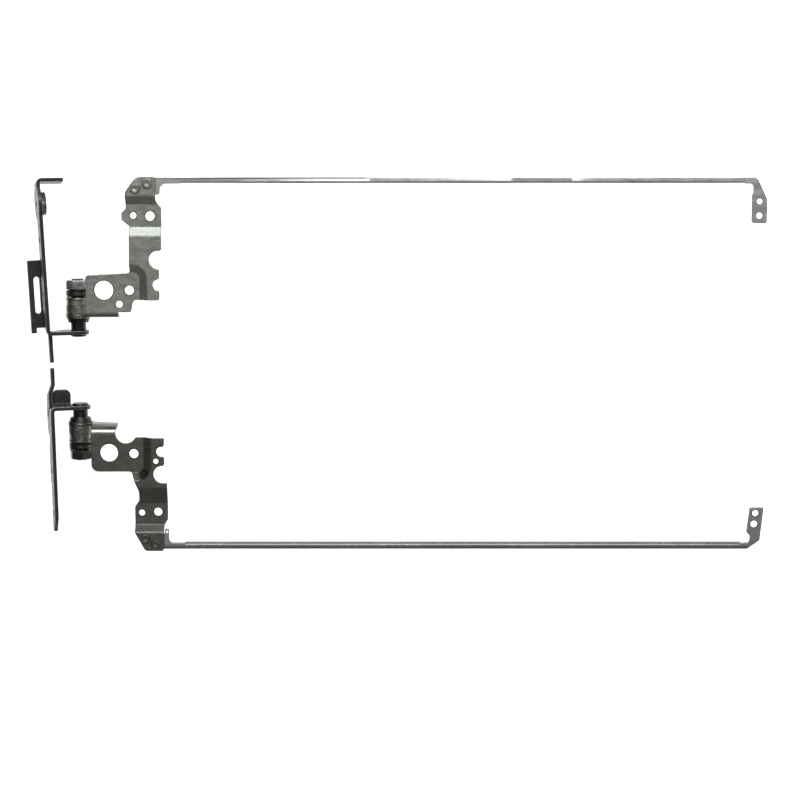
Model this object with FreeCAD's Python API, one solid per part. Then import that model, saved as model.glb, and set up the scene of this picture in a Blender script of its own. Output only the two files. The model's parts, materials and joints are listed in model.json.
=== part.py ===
import FreeCAD, Part
import math
import os
from collections import namedtuple

# A pair of laptop lid hinges. Each has a stepped sheet-steel lid bracket with a long rail riveted to it,
# a black base bracket, and a friction pin that joins the two.
# Sizes are in millimetres. Each hinge is drawn in its own frame: x from the pin axis towards the far edge
# of the lid, y along the pin from the outer face of the lid bracket's ear towards the lock nut, and z up
# from the pin axis.
# The left hinge is drawn the same way and then mirrored in y.

Vector = FreeCAD.Vector
ORIGIN = Vector(0, 0, 0)
X_AXIS = Vector(1, 0, 0)
Y_AXIS = Vector(0, 1, 0)
Z_AXIS = Vector(0, 0, 1)

# Drawing planes: the directions of the two drawn coordinates, and the direction of extrusion
PLAN = (X_AXIS, Y_AXIS, Z_AXIS)
SIDE = (Y_AXIS, Z_AXIS, X_AXIS)
FRONT = (X_AXIS, Z_AXIS, Y_AXIS)

# Sheet thicknesses and the inside radius of ordinary bends
LID_SHEET = 1.0
BASE_SHEET = 1.3
RAIL_SHEET = 0.8
BEND_INSIDE = 0.5

# Clearances: a turning bore, a seated or keyed piece, the axial gap between bodies that turn,
# and the room between the barrel and the lid bracket above it
TURNING_CLEARANCE = 0.05
SEATED_CLEARANCE = 0.02
AXIAL_GAP = 0.02
BARREL_CLEARANCE = 0.1

# Friction pin and the pieces on it
SHANK_DIAMETER = 4.0
SHANK_FLATS = 3.2
SHANK_END = 0.4
NECK_DIAMETER = 5.2
NECK_LENGTH = 2.9
COLLAR_DIAMETER = 8.0
COLLAR_LENGTH = 1.6
COLLAR_TAPER = 0.5
TAIL_DIAMETER = 4.4
TAIL_HEAD_DIAMETER = 6.0
TAIL_HEAD_HEIGHT = 0.8
TAIL_HEAD_TAPER = 0.5
STACK_DIAMETER = 8.4
COLLAR_WASHER_THICKNESS = 0.4
RING_LENGTH = 2.8
RING_TANG_WIDTH = 1.4
RING_TANG_HEIGHT = 0.8
DISC_DIAMETER = 8.0
DISC_LENGTH = 2.1
WEAR_WASHER_DIAMETER = 8.4
WEAR_WASHER_THICKNESS = 0.8
SPRING_COUNT = 2
SPRING_THICKNESS = 0.8
SPRING_HEIGHT = 1.5
SPRING_DIAMETER = 8.2
NUT_ACROSS_FLATS = 7.0
NUT_LENGTH = 3.1
NUT_CHAMFER = 0.5
NUT_CORNER = NUT_ACROSS_FLATS / math.sqrt(3)
RIGHT_NUT_ANGLE = 0.0
LEFT_NUT_ANGLE = 30.0

# Lid brackets: the low level clears the barrel, and a slope rises from it to the high level
BARREL_RADIUS = max(STACK_DIAMETER / 2, DISC_DIAMETER / 2, WEAR_WASHER_DIAMETER / 2, SPRING_DIAMETER / 2,
                    COLLAR_DIAMETER / 2, NUT_CORNER)
SEAT_HEIGHT = BARREL_RADIUS + BARREL_CLEARANCE
STEP_HEIGHT = 2.0
STEP_RUN = 2.8
HALF_SLOPE = math.tan(math.atan2(STEP_HEIGHT, STEP_RUN) / 2)
POCKET_CORNER = 2.4
NOTCH_ROUND = 0.8
EAR_LUG_RADIUS = 4.3
EAR_TAIL_ROUND = 0.8

# Panel fixing holes: one in the bracket, one in the rail's foot
PANEL_HOLE_PITCH = 216.4
PANEL_HOLE = 2.4

# Rails: an L section with its leg on the inner side
RAIL_WIDTH = 2.2
RAIL_LEG_HEIGHT = 2.2
RAIL_LEG_ROUND = 1.0
RAIL_LEG_START = 37.0
RAIL_LEG_STOP_BEFORE_HOLE = 5.0

# Rail rivets
RIVET_SHANK = 2.2
RIVET_HEAD = 3.8
RIVET_HEAD_HEIGHT = 0.6
RIVET_HEAD_TAPER = 0.4
RIVET_DIMPLE = 1.8
RIVET_DIMPLE_DEPTH = 0.25
RIVET_TAIL_HEIGHT = 0.5

# Base brackets: edges of the plate measured across the pin axis
BASE_NEAR_EDGE = 3.6
BASE_FAR_EDGE = -3.0
BASE_LUG_RADIUS = 3.6
BASE_BEND_FOOT = 0.2
BASE_RELIEF = 0.8
BASE_SCREW_HOLE = 2.6
BASE_EAR_NECK = -8.6
BASE_EAR_NECK_ROUND = 0.8
TAB_TOP = -0.6
TAB_JOG = 1.1
TAB_JOG_RUN = 3.0

# Places of the two hinges in the shared frame: the tabs of their base brackets end a little apart
RIGHT_TAB_REACH = 16.2
LEFT_TAB_REACH = 19.5
TAB_SPACING = 2.0
TAB_MIDDLE_Y = -0.45
AXIS_X = -111.7
AXIS_Z = EAR_LUG_RADIUS
RIGHT_EAR_Y = TAB_MIDDLE_Y + TAB_SPACING / 2 + RIGHT_TAB_REACH
LEFT_EAR_Y = TAB_MIDDLE_Y - TAB_SPACING / 2 - LEFT_TAB_REACH
OPENED_PAST_SQUARE = 17.0

LidBracket = namedtuple(
    "LidBracket", "left_edge ear_end ear_tail bend_inside outline pocket steps holes notches rivets")
Rail = namedtuple("Rail", "inner_edge pad foot panel_hole spare_hole eyelet")

# Lid bracket of the right hinge: outline corners are (x, y, corner radius), holes are (x, y, diameter),
# and so are the notches that open in its edge; steps are (y where the slope starts, direction of its rise,
# length of the slope)
RIGHT_PAD_HOLE = (20.6, 35.5)
RIGHT_LID_EDGE = 3.5
RIGHT_EAR_END = 14.7
RIGHT_STEP_DOWN = 28.6
RIGHT_STEP_UP = 39.4
RIGHT_LID = LidBracket(
    left_edge=RIGHT_LID_EDGE,
    ear_end=RIGHT_EAR_END,
    ear_tail=1.2,
    bend_inside=BEND_INSIDE,
    outline=[(RIGHT_LID_EDGE, 14.9, 1.5), (19.0, 15.7, 0.8), (19.2, 31.8, 0.6), (16.5, 34.0, 0.8),
             (16.5, 36.4, 0.7), (18.0, 37.9, 0.4), (18.0, 43.6, 3.5), (22.0, 49.0, 4.0), (28.6, 49.0, 0.8),
             (28.5, 40.2, 2.0), (30.25, 38.2, 0.4), (30.3, 20.3, 0), (29.4, 20.3, 0), (29.4, 6.2, 0.8),
             (20.0, 6.2, 1.5), (19.2, 1.9, 0.9), (RIGHT_EAR_END, 1.9, 0)],
    pocket=(22.3, 15.9),
    steps=[(RIGHT_STEP_DOWN, -1, STEP_RUN), (RIGHT_STEP_UP, 1, STEP_RUN)],
    holes=[(9.9, 9.6, 6.7), (18.8, 9.6, 3.4), (15.2, 4.7, 2.6), RIGHT_PAD_HOLE + (PANEL_HOLE,),
           (26.4, 35.3, 3.4)],
    notches=[(29.0, 20.3, 6.2), (29.0, 11.6, 3.8)],
    rivets=[(21.6, 44.8), (25.8, 46.6)])

# Lid bracket of the left hinge
LEFT_PAD_HOLE = (21.8, 31.4)
LEFT_LID_EDGE = 4.3
LEFT_EAR_END = 13.4
LEFT_STEP_DOWN = 22.0
LEFT_STEP_DOWN_RUN = 6.0
LEFT_STEP_UP = 35.5
LEFT_LID = LidBracket(
    left_edge=LEFT_LID_EDGE,
    ear_end=LEFT_EAR_END,
    ear_tail=0.2,
    bend_inside=2.8,
    outline=[(LEFT_LID_EDGE, 16.7, 2.5), (18.4, 16.7, 1.2), (19.4, 19.6, 1.5), (21.0, 23.5, 1.0),
             (21.0, 26.9, 1.0), (19.4, 29.3, 0.6), (19.4, 38.3, 1.0), (23.0, 44.8, 1.6), (29.5, 44.8, 0.8),
             (29.65, 35.8, 0.8), (30.9, 33.9, 0.5), (31.0, 20.5, 0.4), (29.3, 20.5, 0), (29.3, 17.4, 0),
             (30.1, 17.4, 0), (30.1, 4.5, 0.3), (16.5, 4.5, 0)],
    pocket=(22.7, 16.9),
    steps=[(LEFT_STEP_DOWN, -1, LEFT_STEP_DOWN_RUN), (LEFT_STEP_UP, 1, STEP_RUN)],
    holes=[(10.6, 10.0, 6.4), (19.3, 10.3, 3.4), (27.2, 12.7, 2.0), LEFT_PAD_HOLE + (PANEL_HOLE,),
           (27.5, 31.1, 3.1)],
    notches=[(29.3, 17.45, 6.1), (29.1, 9.35, 3.5), (16.5, 3.0, 7.3)],
    rivets=[(23.1, 40.4), (26.7, 42.4)])

# Rails: the pad starts where the bracket's high level is flat below,
# pad corners are drawn like the brackets, foot corners have their x from the panel hole
PAD_SETBACK = STEP_RUN + (LID_SHEET + BEND_INSIDE) * HALF_SLOPE + SEATED_CLEARANCE
RIGHT_RAIL_INNER = 46.5
RIGHT_RAIL_OUTER = RIGHT_RAIL_INNER + RAIL_WIDTH
RIGHT_RAIL = Rail(
    inner_edge=RIGHT_RAIL_INNER,
    pad=[(22.6, RIGHT_RAIL_OUTER, 2.5), (19.2, 44.6, 0.6), (19.2, RIGHT_STEP_UP + PAD_SETBACK, 0.6),
         (30.0, RIGHT_STEP_UP + PAD_SETBACK, 1.0), (30.0, RIGHT_RAIL_INNER, 2.2)],
    foot=[(-2.2, RIGHT_RAIL_INNER, 1.2), (-2.2, 43.7, 0.5), (-2.65, 42.5, 0.5), (-2.6, 32.9, 1.1),
          (2.65, 32.9, 0.8), (2.65, 41.1, 1.5), (-0.5, 47.7, 0.6), (-1.6, RIGHT_RAIL_OUTER, 0.5)],
    panel_hole=RIGHT_PAD_HOLE,
    spare_hole=(0.0, 40.4, 2.2),
    eyelet=None)
LEFT_RAIL_INNER = 42.0
LEFT_RAIL_OUTER = LEFT_RAIL_INNER + RAIL_WIDTH
LEFT_RAIL = Rail(
    inner_edge=LEFT_RAIL_INNER,
    pad=[(23.8, LEFT_RAIL_OUTER, 1.0), (20.9, 39.8, 0.4), (20.9, LEFT_STEP_UP + PAD_SETBACK, 0.3),
         (29.9, LEFT_STEP_UP + PAD_SETBACK, 0.2), (29.9, 37.0, 0.6), (31.3, 37.0, 0.7),
         (31.3, LEFT_RAIL_INNER, 1.5)],
    foot=[(-1.9, LEFT_RAIL_INNER, 1.0), (-1.7, 39.6, 0.5), (-3.0, 38.2, 0.8), (-2.0, 29.4, 0.4),
          (2.9, 29.4, 0.3), (1.7, 41.2, 0.9), (-2.6, LEFT_RAIL_OUTER, 0.6)],
    panel_hole=LEFT_PAD_HOLE,
    spare_hole=(-0.4, 35.3, 2.6),
    eyelet=(30.6, 38.1, 0.9))

# Base bracket of the right hinge: distance of its plate from the pin, and the plate's slant along the pin.
# Places on the plate are (y, z).
RIGHT_BASE_OFFSET = 10.5
RIGHT_BASE_SLANT = 2.3
RIGHT_TAB_JOG_PLACE = -3.5
RIGHT_EAR_SHOULDER = -5.2
RIGHT_EAR_SHOULDER_ROUND = 1.5
RIGHT_END_FLANGE_PLACE = 47.2
RIGHT_END_FLANGE_REACH = 8.0
RIGHT_END_FLANGE_TOP = 1.4
RIGHT_END_FLANGE_FOOT = -5.0
RIGHT_END_FLANGE_LEAN = 10.0
RIGHT_LOBE = (39.4, -1.5)
RIGHT_LOBE_RADIUS = 6.2
RIGHT_SCREW_HOLES = [(8.0, 0.3), (27.0, 0.3)]
FOOT_FLANGE_FROM = -5.8
FOOT_FLANGE_TO = 19.8
FOOT_FLANGE_LEVEL = -5.2
FOOT_FLANGE_WIDTH = 4.3
FOOT_RELIEF_WIDTH = 2.4
FOOT_RELIEF_DEPTH = 1.8
FOOT_SLOT_FROM = 1.1
FOOT_SLOT_TO = 14.0
FOOT_SLOT_WIDTH = 2.0
FOOT_SLOT_SETBACK = BEND_INSIDE
CLINCH_NUT_DIAMETER = 7.7
CLINCH_NUT_HEIGHT = 1.7
CLINCH_NUT_SPIGOT = 3.8
CLINCH_NUT_BORE = 2.4

# Base bracket of the left hinge
LEFT_BASE_OFFSET = 9.5
LEFT_BASE_SLANT = -1.0
LEFT_TAB_JOG_PLACE = -10.5
LEFT_EAR_SHOULDER = -7.6
LEFT_EAR_SHOULDER_ROUND = 0.8
LEFT_PLATE_END = 38.8
LEFT_PLATE_NOSE = 5.5
LEFT_NOSE_ROUND = 2.0
LEFT_TIP_ROUND = 0.8
LEFT_LOBE_FROM = -10.5
LEFT_LOBE_TO = 4.3
LEFT_LOBE_FOOT = -7.3
LEFT_LOBE_ROUND = 4.0
LEFT_LOBE_HOLE = (-3.1, -4.0)
LEFT_LOBE_HOLE_DIAMETER = 3.2
LEFT_SECOND_LOBE_FROM = 7.1
LEFT_SECOND_LOBE_TO = 22.4
LEFT_SECOND_LOBE_FOOT = -4.6
LEFT_SECOND_LOBE_ROUND = 3.0
LEFT_SCREW_HOLES = [(16.9, 0.0), (32.0, 0.3)]
EAR_FLANGE_FROM = -9.4
EAR_FLANGE_TO = -2.8
EAR_FLANGE_LEVEL = -5.0
EAR_FLANGE_WIDTH = 5.2
EAR_FLANGE_ROUND = 2.0

# Places along the pin and levels that follow from the sizes above
COLLAR_WASHER_FACE = -AXIAL_GAP
COLLAR_FACE = COLLAR_WASHER_FACE - COLLAR_WASHER_THICKNESS
NECK_START = COLLAR_FACE - COLLAR_LENGTH
BASE_EAR_FACE = NECK_START - NECK_LENGTH
BASE_EAR_BACK = BASE_EAR_FACE - BASE_SHEET
RING_START = LID_SHEET
DISC_START = RING_START + RING_LENGTH + AXIAL_GAP
WEAR_WASHER_START = DISC_START + DISC_LENGTH
SPRINGS_START = WEAR_WASHER_START + WEAR_WASHER_THICKNESS
NUT_START = SPRINGS_START + SPRING_COUNT * SPRING_HEIGHT
PIN_END = NUT_START + NUT_LENGTH + SHANK_END
RING_TANG_PLACE = (SHANK_DIAMETER + STACK_DIAMETER) / 4
LOW_TOP = SEAT_HEIGHT + LID_SHEET
RAIL_TOP = SEAT_HEIGHT + STEP_HEIGHT
HIGH_TOP = RAIL_TOP + LID_SHEET

# Reach of a cut that passes right through, and the distance below which two points or levels are one
FAR = PANEL_HOLE_PITCH
SAME_PLACE = 1e-4


def rounded_wire(corners, plane):
    """Closed wire of straight runs, each corner (a, b, radius) rounded by a tangent arc."""
    spans = []
    for index, (a, b, radius) in enumerate(corners):
        here = Vector(a, b, 0)
        before = Vector(*corners[index - 1][:2], 0) - here
        after = Vector(*corners[(index + 1) % len(corners)][:2], 0) - here
        if radius == 0:
            spans.append((here, here, None))
            continue
        half = before.getAngle(after) / 2
        reach = radius / math.tan(half)
        before.normalize()
        after.normalize()
        middle = here + (before + after).normalize() * (radius / math.sin(half) - radius)
        spans.append((here + before * reach, here + after * reach, middle))

    def placed(point):
        return plane[0] * point.x + plane[1] * point.y

    edges = []
    for index, (start, end, middle) in enumerate(spans):
        if middle is not None:
            edges.append(Part.Arc(placed(start), placed(middle), placed(end)).toShape())
        following = spans[(index + 1) % len(spans)][0]
        if (following - end).Length > SAME_PLACE:
            edges.append(Part.LineSegment(placed(end), placed(following)).toShape())
    return Part.Wire(edges)


def slab(corners, plane, start, end):
    """Solid with a rounded outline, from start to end along the plane's normal."""
    face = Part.Face(rounded_wire(corners, plane))
    face.translate(plane[2] * start)
    return face.extrude(plane[2] * (end - start))


def block(plane, low, high, start, end):
    """Square-cornered slab between two opposite corners."""
    corners = [(low[0], low[1], 0), (high[0], low[1], 0), (high[0], high[1], 0), (low[0], high[1], 0)]
    return slab(corners, plane, start, end)


def rod(plane, centre, radius, start, end):
    """Round solid along the plane's normal."""
    base = plane[0] * centre[0] + plane[1] * centre[1] + plane[2] * start
    return Part.makeCylinder(radius, end - start, base, plane[2])


def turned(corners):
    """Solid turned about the pin axis from an outline of (radius, y, corner radius)."""
    return Part.Face(rounded_wire(corners, PLAN)).revolve(ORIGIN, Y_AXIS, 360)


def bent_strip(path, thickness):
    """Outline of a bent sheet that lies on the right of a path; every bend has the same inside radius."""
    normals = []
    for (a, b), (c, d) in zip(path, path[1:]):
        length = math.hypot(c - a, d - b)
        normals.append(((d - b) / length, (a - c) / length))
    near = [path[0] + (0,)]
    far = [(path[0][0] + normals[0][0] * thickness, path[0][1] + normals[0][1] * thickness, 0)]
    for (a, b), first, second in zip(path[1:-1], normals, normals[1:]):
        share = thickness / (1 + first[0] * second[0] + first[1] * second[1])
        turns_right = first[0] * second[1] - first[1] * second[0] < 0
        near.append((a, b, BEND_INSIDE + thickness if turns_right else BEND_INSIDE))
        far.append((a + (first[0] + second[0]) * share, b + (first[1] + second[1]) * share,
                    BEND_INSIDE if turns_right else BEND_INSIDE + thickness))
    near.append(path[-1] + (0,))
    far.append((path[-1][0] + normals[-1][0] * thickness, path[-1][1] + normals[-1][1] * thickness, 0))
    return near + far[::-1]


def keyed_bore(clearance, start, end):
    """Double-D bar of the pin's shank, grown by a clearance."""
    radius = SHANK_DIAMETER / 2 + clearance
    half = SHANK_FLATS / 2 + clearance
    bar = rod(FRONT, (0, 0), radius, start, end)
    return bar.common(block(FRONT, (-radius, -half), (radius, half), start, end))


def flat_ring(inner, outer, start, end):
    """Flat ring between two places along the pin."""
    return turned([(inner, start, 0), (outer, start, 0), (outer, end, 0), (inner, end, 0)])


# Lid bracket

def pocket_wire(lid, shift, level, floor):
    """Outline of the pocket at a level: a quarter field whose one corner is rounded."""
    spread = shift + (level - floor) * STEP_RUN / STEP_HEIGHT
    x = lid.pocket[0] + spread
    y = lid.pocket[1] + spread
    wire = rounded_wire([(-FAR, -FAR, 0), (x, -FAR, 0), (x, y, POCKET_CORNER + spread), (-FAR, y, 0)], PLAN)
    wire.translate(Z_AXIS * level)
    return wire


def pocket_rim(body, level, lid):
    """Edges of a body that make the pocket's rim at a level."""
    rim = []
    for edge in body.Edges:
        box = edge.BoundBox
        flat = abs(box.ZMin - level) < SAME_PLACE and abs(box.ZMax - level) < SAME_PLACE
        near = box.XMax < lid.pocket[0] + 2 * STEP_RUN and box.YMax < lid.pocket[1] + 2 * STEP_RUN
        reaches_pocket = box.XMax > 0 and box.YMax > 0
        if flat and near and reaches_pocket:
            rim.append(edge)
    return rim


def stepped_body(lid, drop):
    """Solid below the bracket's upper skin, or, dropped by the sheet, below its lower skin."""
    shift = drop * HALF_SLOPE
    low = LOW_TOP - drop
    high = HIGH_TOP - drop
    convex = BEND_INSIDE + LID_SHEET - drop
    concave = BEND_INSIDE + drop
    corners = [(-FAR, -FAR, 0), (-FAR, high, 0)]
    for start, direction, run in lid.steps:
        first = start + direction * drop * math.tan(math.atan2(STEP_HEIGHT, run) / 2)
        if direction < 0:
            corners += [(first, high, convex), (first + run, low, concave)]
        else:
            corners += [(first, low, concave), (first + run, high, convex)]
    corners += [(FAR, high, 0), (FAR, -FAR, 0)]
    body = slab(corners, SIDE, -FAR, FAR)
    wires = [pocket_wire(lid, shift, low, low), pocket_wire(lid, shift, high + STEP_HEIGHT, low)]
    body = body.cut(Part.makeLoft(wires, True, True))
    body = body.makeFillet(concave, pocket_rim(body, low, lid))
    return body.makeFillet(convex, pocket_rim(body, high, lid))


def lid_ear(lid):
    """Ear bent down from the low level, with a lug round the pin."""
    outside = lid.bend_inside + LID_SHEET
    foot = LOW_TOP - outside
    bend = rod(SIDE, (outside, foot), outside, lid.left_edge, lid.ear_end)
    bend = bend.cut(rod(SIDE, (outside, foot), lid.bend_inside, lid.left_edge, lid.ear_end))
    bend = bend.common(block(SIDE, (0, foot), (outside, LOW_TOP), lid.left_edge, lid.ear_end))
    reach = math.hypot(lid.ear_end, lid.ear_tail)
    angle = math.atan2(lid.ear_tail, lid.ear_end) - math.acos(EAR_LUG_RADIUS / reach)
    tangent = (EAR_LUG_RADIUS * math.cos(angle), EAR_LUG_RADIUS * math.sin(angle), 0)
    web = slab([(lid.left_edge, foot, 0), (lid.ear_end, foot, 0),
                (lid.ear_end, lid.ear_tail, EAR_TAIL_ROUND), tangent, (0, 0, 0)], FRONT, 0, LID_SHEET)
    lug = rod(FRONT, (0, 0), EAR_LUG_RADIUS, 0, LID_SHEET)
    lug = lug.cut(block(FRONT, (lid.left_edge, foot), (FAR, FAR), -FAR, FAR))
    return [bend, web, lug]


def ring_tang(clearance, start, end):
    """Tang of the friction ring that keys it to the lid bracket's ear."""
    half = RING_TANG_WIDTH / 2 + clearance
    top = RING_TANG_HEIGHT / 2 + clearance
    return block(FRONT, (-half, -RING_TANG_PLACE - top), (half, -RING_TANG_PLACE + top), start, end)


def notched(bracket, lid):
    """Bites the round notches out of the bracket's edge and rounds the corners that they leave."""
    corners = []
    for x, y, diameter in lid.notches:
        bracket = bracket.cut(rod(PLAN, (x, y), diameter / 2, 0, FAR))
    for edge in bracket.Edges:
        box = edge.BoundBox
        if box.XLength > SAME_PLACE or box.YLength > SAME_PLACE:
            continue
        for x, y, diameter in lid.notches:
            if abs(math.hypot(box.XMax - x, box.YMax - y) - diameter / 2) < SAME_PLACE:
                corners.append(edge)
    return bracket.makeFillet(NOTCH_ROUND, corners)


def lid_bracket(lid):
    """Stepped plate, bend and ear in one sheet, with its holes and notches."""
    bend_end = lid.bend_inside + LID_SHEET
    sheet = stepped_body(lid, 0).cut(stepped_body(lid, LID_SHEET))
    outline = [(lid.left_edge, bend_end, 0)] + lid.outline + [(lid.outline[-1][0], bend_end, 0)]
    plate = sheet.common(slab(outline, PLAN, 0, FAR))
    bracket = notched(plate.fuse(lid_ear(lid)).removeSplitter(), lid)
    for x, y, diameter in lid.holes:
        bracket = bracket.cut(rod(PLAN, (x, y), diameter / 2, -FAR, FAR))
    for place in lid.rivets:
        bracket = bracket.cut(rod(PLAN, place, RIVET_SHANK / 2 + SEATED_CLEARANCE, 0, FAR))
    bracket = bracket.cut(rod(FRONT, (0, 0), SHANK_DIAMETER / 2 + TURNING_CLEARANCE, -FAR, FAR))
    return bracket.cut(ring_tang(SEATED_CLEARANCE, -FAR, FAR))


# Rail and its rivets

def rail_piece(rail, lid):
    """Flat pad, L-section run and flat foot of one pressed strip."""
    inner = rail.inner_edge
    outer = inner + RAIL_WIDTH
    hole_x = rail.panel_hole[0] + PANEL_HOLE_PITCH
    leg_end = hole_x - RAIL_LEG_STOP_BEFORE_HOLE
    leg_foot = RAIL_TOP - RAIL_LEG_HEIGHT
    bottom = RAIL_TOP - RAIL_SHEET
    pad = slab(rail.pad + [(RAIL_LEG_START, inner, 0), (RAIL_LEG_START, outer, 0)], PLAN, bottom, RAIL_TOP)
    foot_corners = [(hole_x + x, y, radius) for x, y, radius in rail.foot]
    foot = slab([(leg_end, outer, 0), (leg_end, inner, 0)] + foot_corners, PLAN, bottom, RAIL_TOP)
    section = [(inner, RAIL_TOP, RAIL_LEG_ROUND), (outer, RAIL_TOP, 0), (outer, bottom, 0),
               (inner + RAIL_SHEET, bottom, 0), (inner + RAIL_SHEET, leg_foot, 0), (inner, leg_foot, 0)]
    run = slab(section, SIDE, RAIL_LEG_START, leg_end)
    piece = pad.fuse([run, foot]).removeSplitter()
    cuts = [rod(PLAN, (hole_x, rail.panel_hole[1]), PANEL_HOLE / 2, 0, FAR)]
    spare_x, spare_y, spare_diameter = rail.spare_hole
    cuts.append(rod(PLAN, (hole_x + spare_x, spare_y), spare_diameter / 2, 0, FAR))
    if rail.eyelet:
        cuts.append(rod(PLAN, rail.eyelet[:2], rail.eyelet[2] / 2, 0, FAR))
    for place in lid.rivets:
        cuts.append(rod(PLAN, place, RIVET_SHANK / 2 + SEATED_CLEARANCE, 0, FAR))
    return piece.cut(cuts)


def rivet(place):
    """Headed rivet through the lid bracket and the rail, with a dimple left by its tool."""
    shank = RIVET_SHANK / 2
    head = RIVET_HEAD / 2
    tail_top = RAIL_TOP - RAIL_SHEET
    tail_foot = tail_top - RIVET_TAIL_HEIGHT
    head_top = HIGH_TOP + RIVET_HEAD_HEIGHT
    profile = [(0, tail_foot, 0), (head, tail_foot, 0), (head, tail_top, 0),
               (shank, tail_top, 0), (shank, HIGH_TOP, 0), (head, HIGH_TOP, 0),
               (head - RIVET_HEAD_TAPER, head_top, 0), (RIVET_DIMPLE / 2, head_top, 0),
               (0, head_top - RIVET_DIMPLE_DEPTH, 0)]
    shape = Part.Face(rounded_wire(profile, FRONT)).revolve(ORIGIN, Z_AXIS, 360)
    shape.translate(Vector(*place, 0))
    return shape


# Friction pin and the pieces on it

def hinge_pin():
    """Turned pin: riveted tail, neck, tapered collar and a shank with two flats."""
    shank = SHANK_DIAMETER / 2
    neck = NECK_DIAMETER / 2
    tail = TAIL_DIAMETER / 2
    tail_head = TAIL_HEAD_DIAMETER / 2
    collar = COLLAR_DIAMETER / 2
    head_end = BASE_EAR_BACK - TAIL_HEAD_HEIGHT
    pin = turned([(0, head_end, 0), (tail_head - TAIL_HEAD_TAPER, head_end, 0), (tail_head, BASE_EAR_BACK, 0),
                  (tail, BASE_EAR_BACK, 0), (tail, BASE_EAR_FACE, 0), (neck, BASE_EAR_FACE, 0),
                  (neck, NECK_START, 0), (collar - COLLAR_TAPER, NECK_START, 0), (collar, COLLAR_FACE, 0),
                  (shank, COLLAR_FACE, 0), (shank, PIN_END, 0), (0, PIN_END, 0)])
    for side in (-1, 1):
        flat = block(FRONT, (-shank, side * SHANK_FLATS / 2), (shank, side * shank), COLLAR_FACE, PIN_END)
        pin = pin.cut(flat)
    return pin


def keyed_washer(start, thickness, diameter):
    """Ring that the pin's flats turn with it."""
    ring = flat_ring(SHANK_FLATS / 4, diameter / 2, start, start + thickness)
    return ring.cut(keyed_bore(SEATED_CLEARANCE, start, start + thickness))


def friction_ring():
    """Ring that the ear holds still, with its tang in the ear's slot."""
    bore = SHANK_DIAMETER / 2 + TURNING_CLEARANCE
    ring = flat_ring(bore, STACK_DIAMETER / 2, RING_START, RING_START + RING_LENGTH)
    return ring.fuse(ring_tang(0, 0, RING_START + RING_LENGTH / 2))


def spring_washers():
    """Dished spring washers, each turned round against the one before."""
    inner = SHANK_DIAMETER / 2 + TURNING_CLEARANCE
    outer = SPRING_DIAMETER / 2
    rise = SPRING_HEIGHT - SPRING_THICKNESS - AXIAL_GAP
    springs = []
    for index in range(SPRING_COUNT):
        start = SPRINGS_START + index * SPRING_HEIGHT
        at_inner, at_outer = (start, start + rise) if index % 2 == 0 else (start + rise, start)
        springs.append(turned([(inner, at_inner, 0), (outer, at_outer, 0),
                               (outer, at_outer + SPRING_THICKNESS, 0),
                               (inner, at_inner + SPRING_THICKNESS, 0)]))
    return Part.makeCompound(springs)


def lock_nut(corner_angle):
    """Hexagon nut with its free end chamfered."""
    end = NUT_START + NUT_LENGTH
    points = []
    for index in range(6):
        angle = math.radians(corner_angle + 60 * index)
        points.append((NUT_CORNER * math.cos(angle), NUT_CORNER * math.sin(angle), 0))
    narrow = NUT_CORNER - NUT_CHAMFER
    envelope = turned([(0, NUT_START, 0), (NUT_CORNER, NUT_START, 0), (NUT_CORNER, end - NUT_CHAMFER, 0),
                       (narrow, end, 0), (0, end, 0)])
    nut = slab(points, FRONT, NUT_START, end).common(envelope)
    return nut.cut(rod(FRONT, (0, 0), SHANK_DIAMETER / 2 + SEATED_CLEARANCE, NUT_START, end))


# Base brackets

def slanted(shape, offset, slant):
    """Turns what is drawn on a plate parallel to the pin to the plate's real slant."""
    shape.rotate(Vector(-offset, 0, 0), Z_AXIS, slant)
    return shape


def plate_x(offset, slant, y):
    """Place of the plate's inner face at a point along the pin."""
    return -offset - math.tan(math.radians(slant)) * y


def base_ear(shoulder, shoulder_round):
    """Outline of the ear in front view: an arm from the bend and a lug round the pin."""
    end = BASE_EAR_FACE + BEND_INSIDE
    arm = slab([(-FAR, BASE_NEAR_EDGE, 0), (-FAR, BASE_BEND_FOOT, 0),
                (BASE_EAR_NECK, BASE_BEND_FOOT, BASE_EAR_NECK_ROUND),
                (shoulder, -BASE_LUG_RADIUS, shoulder_round), (0, -BASE_LUG_RADIUS, 0),
                (0, BASE_NEAR_EDGE, 0)], FRONT, -FAR, end)
    return arm.fuse(rod(FRONT, (0, 0), BASE_LUG_RADIUS, -FAR, end))


def plate_tab(offset, slant, reach, jog):
    """Narrow tab of the plate that runs on past the ear, jogged a little towards the pin."""
    path = [(-offset, 0), (-offset, jog), (TAB_JOG - offset, jog - TAB_JOG_RUN), (TAB_JOG - offset, -reach)]
    tab = slab(bent_strip(path, BASE_SHEET), PLAN, BASE_FAR_EDGE, TAB_TOP)
    return slanted(tab, offset, slant)


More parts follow.
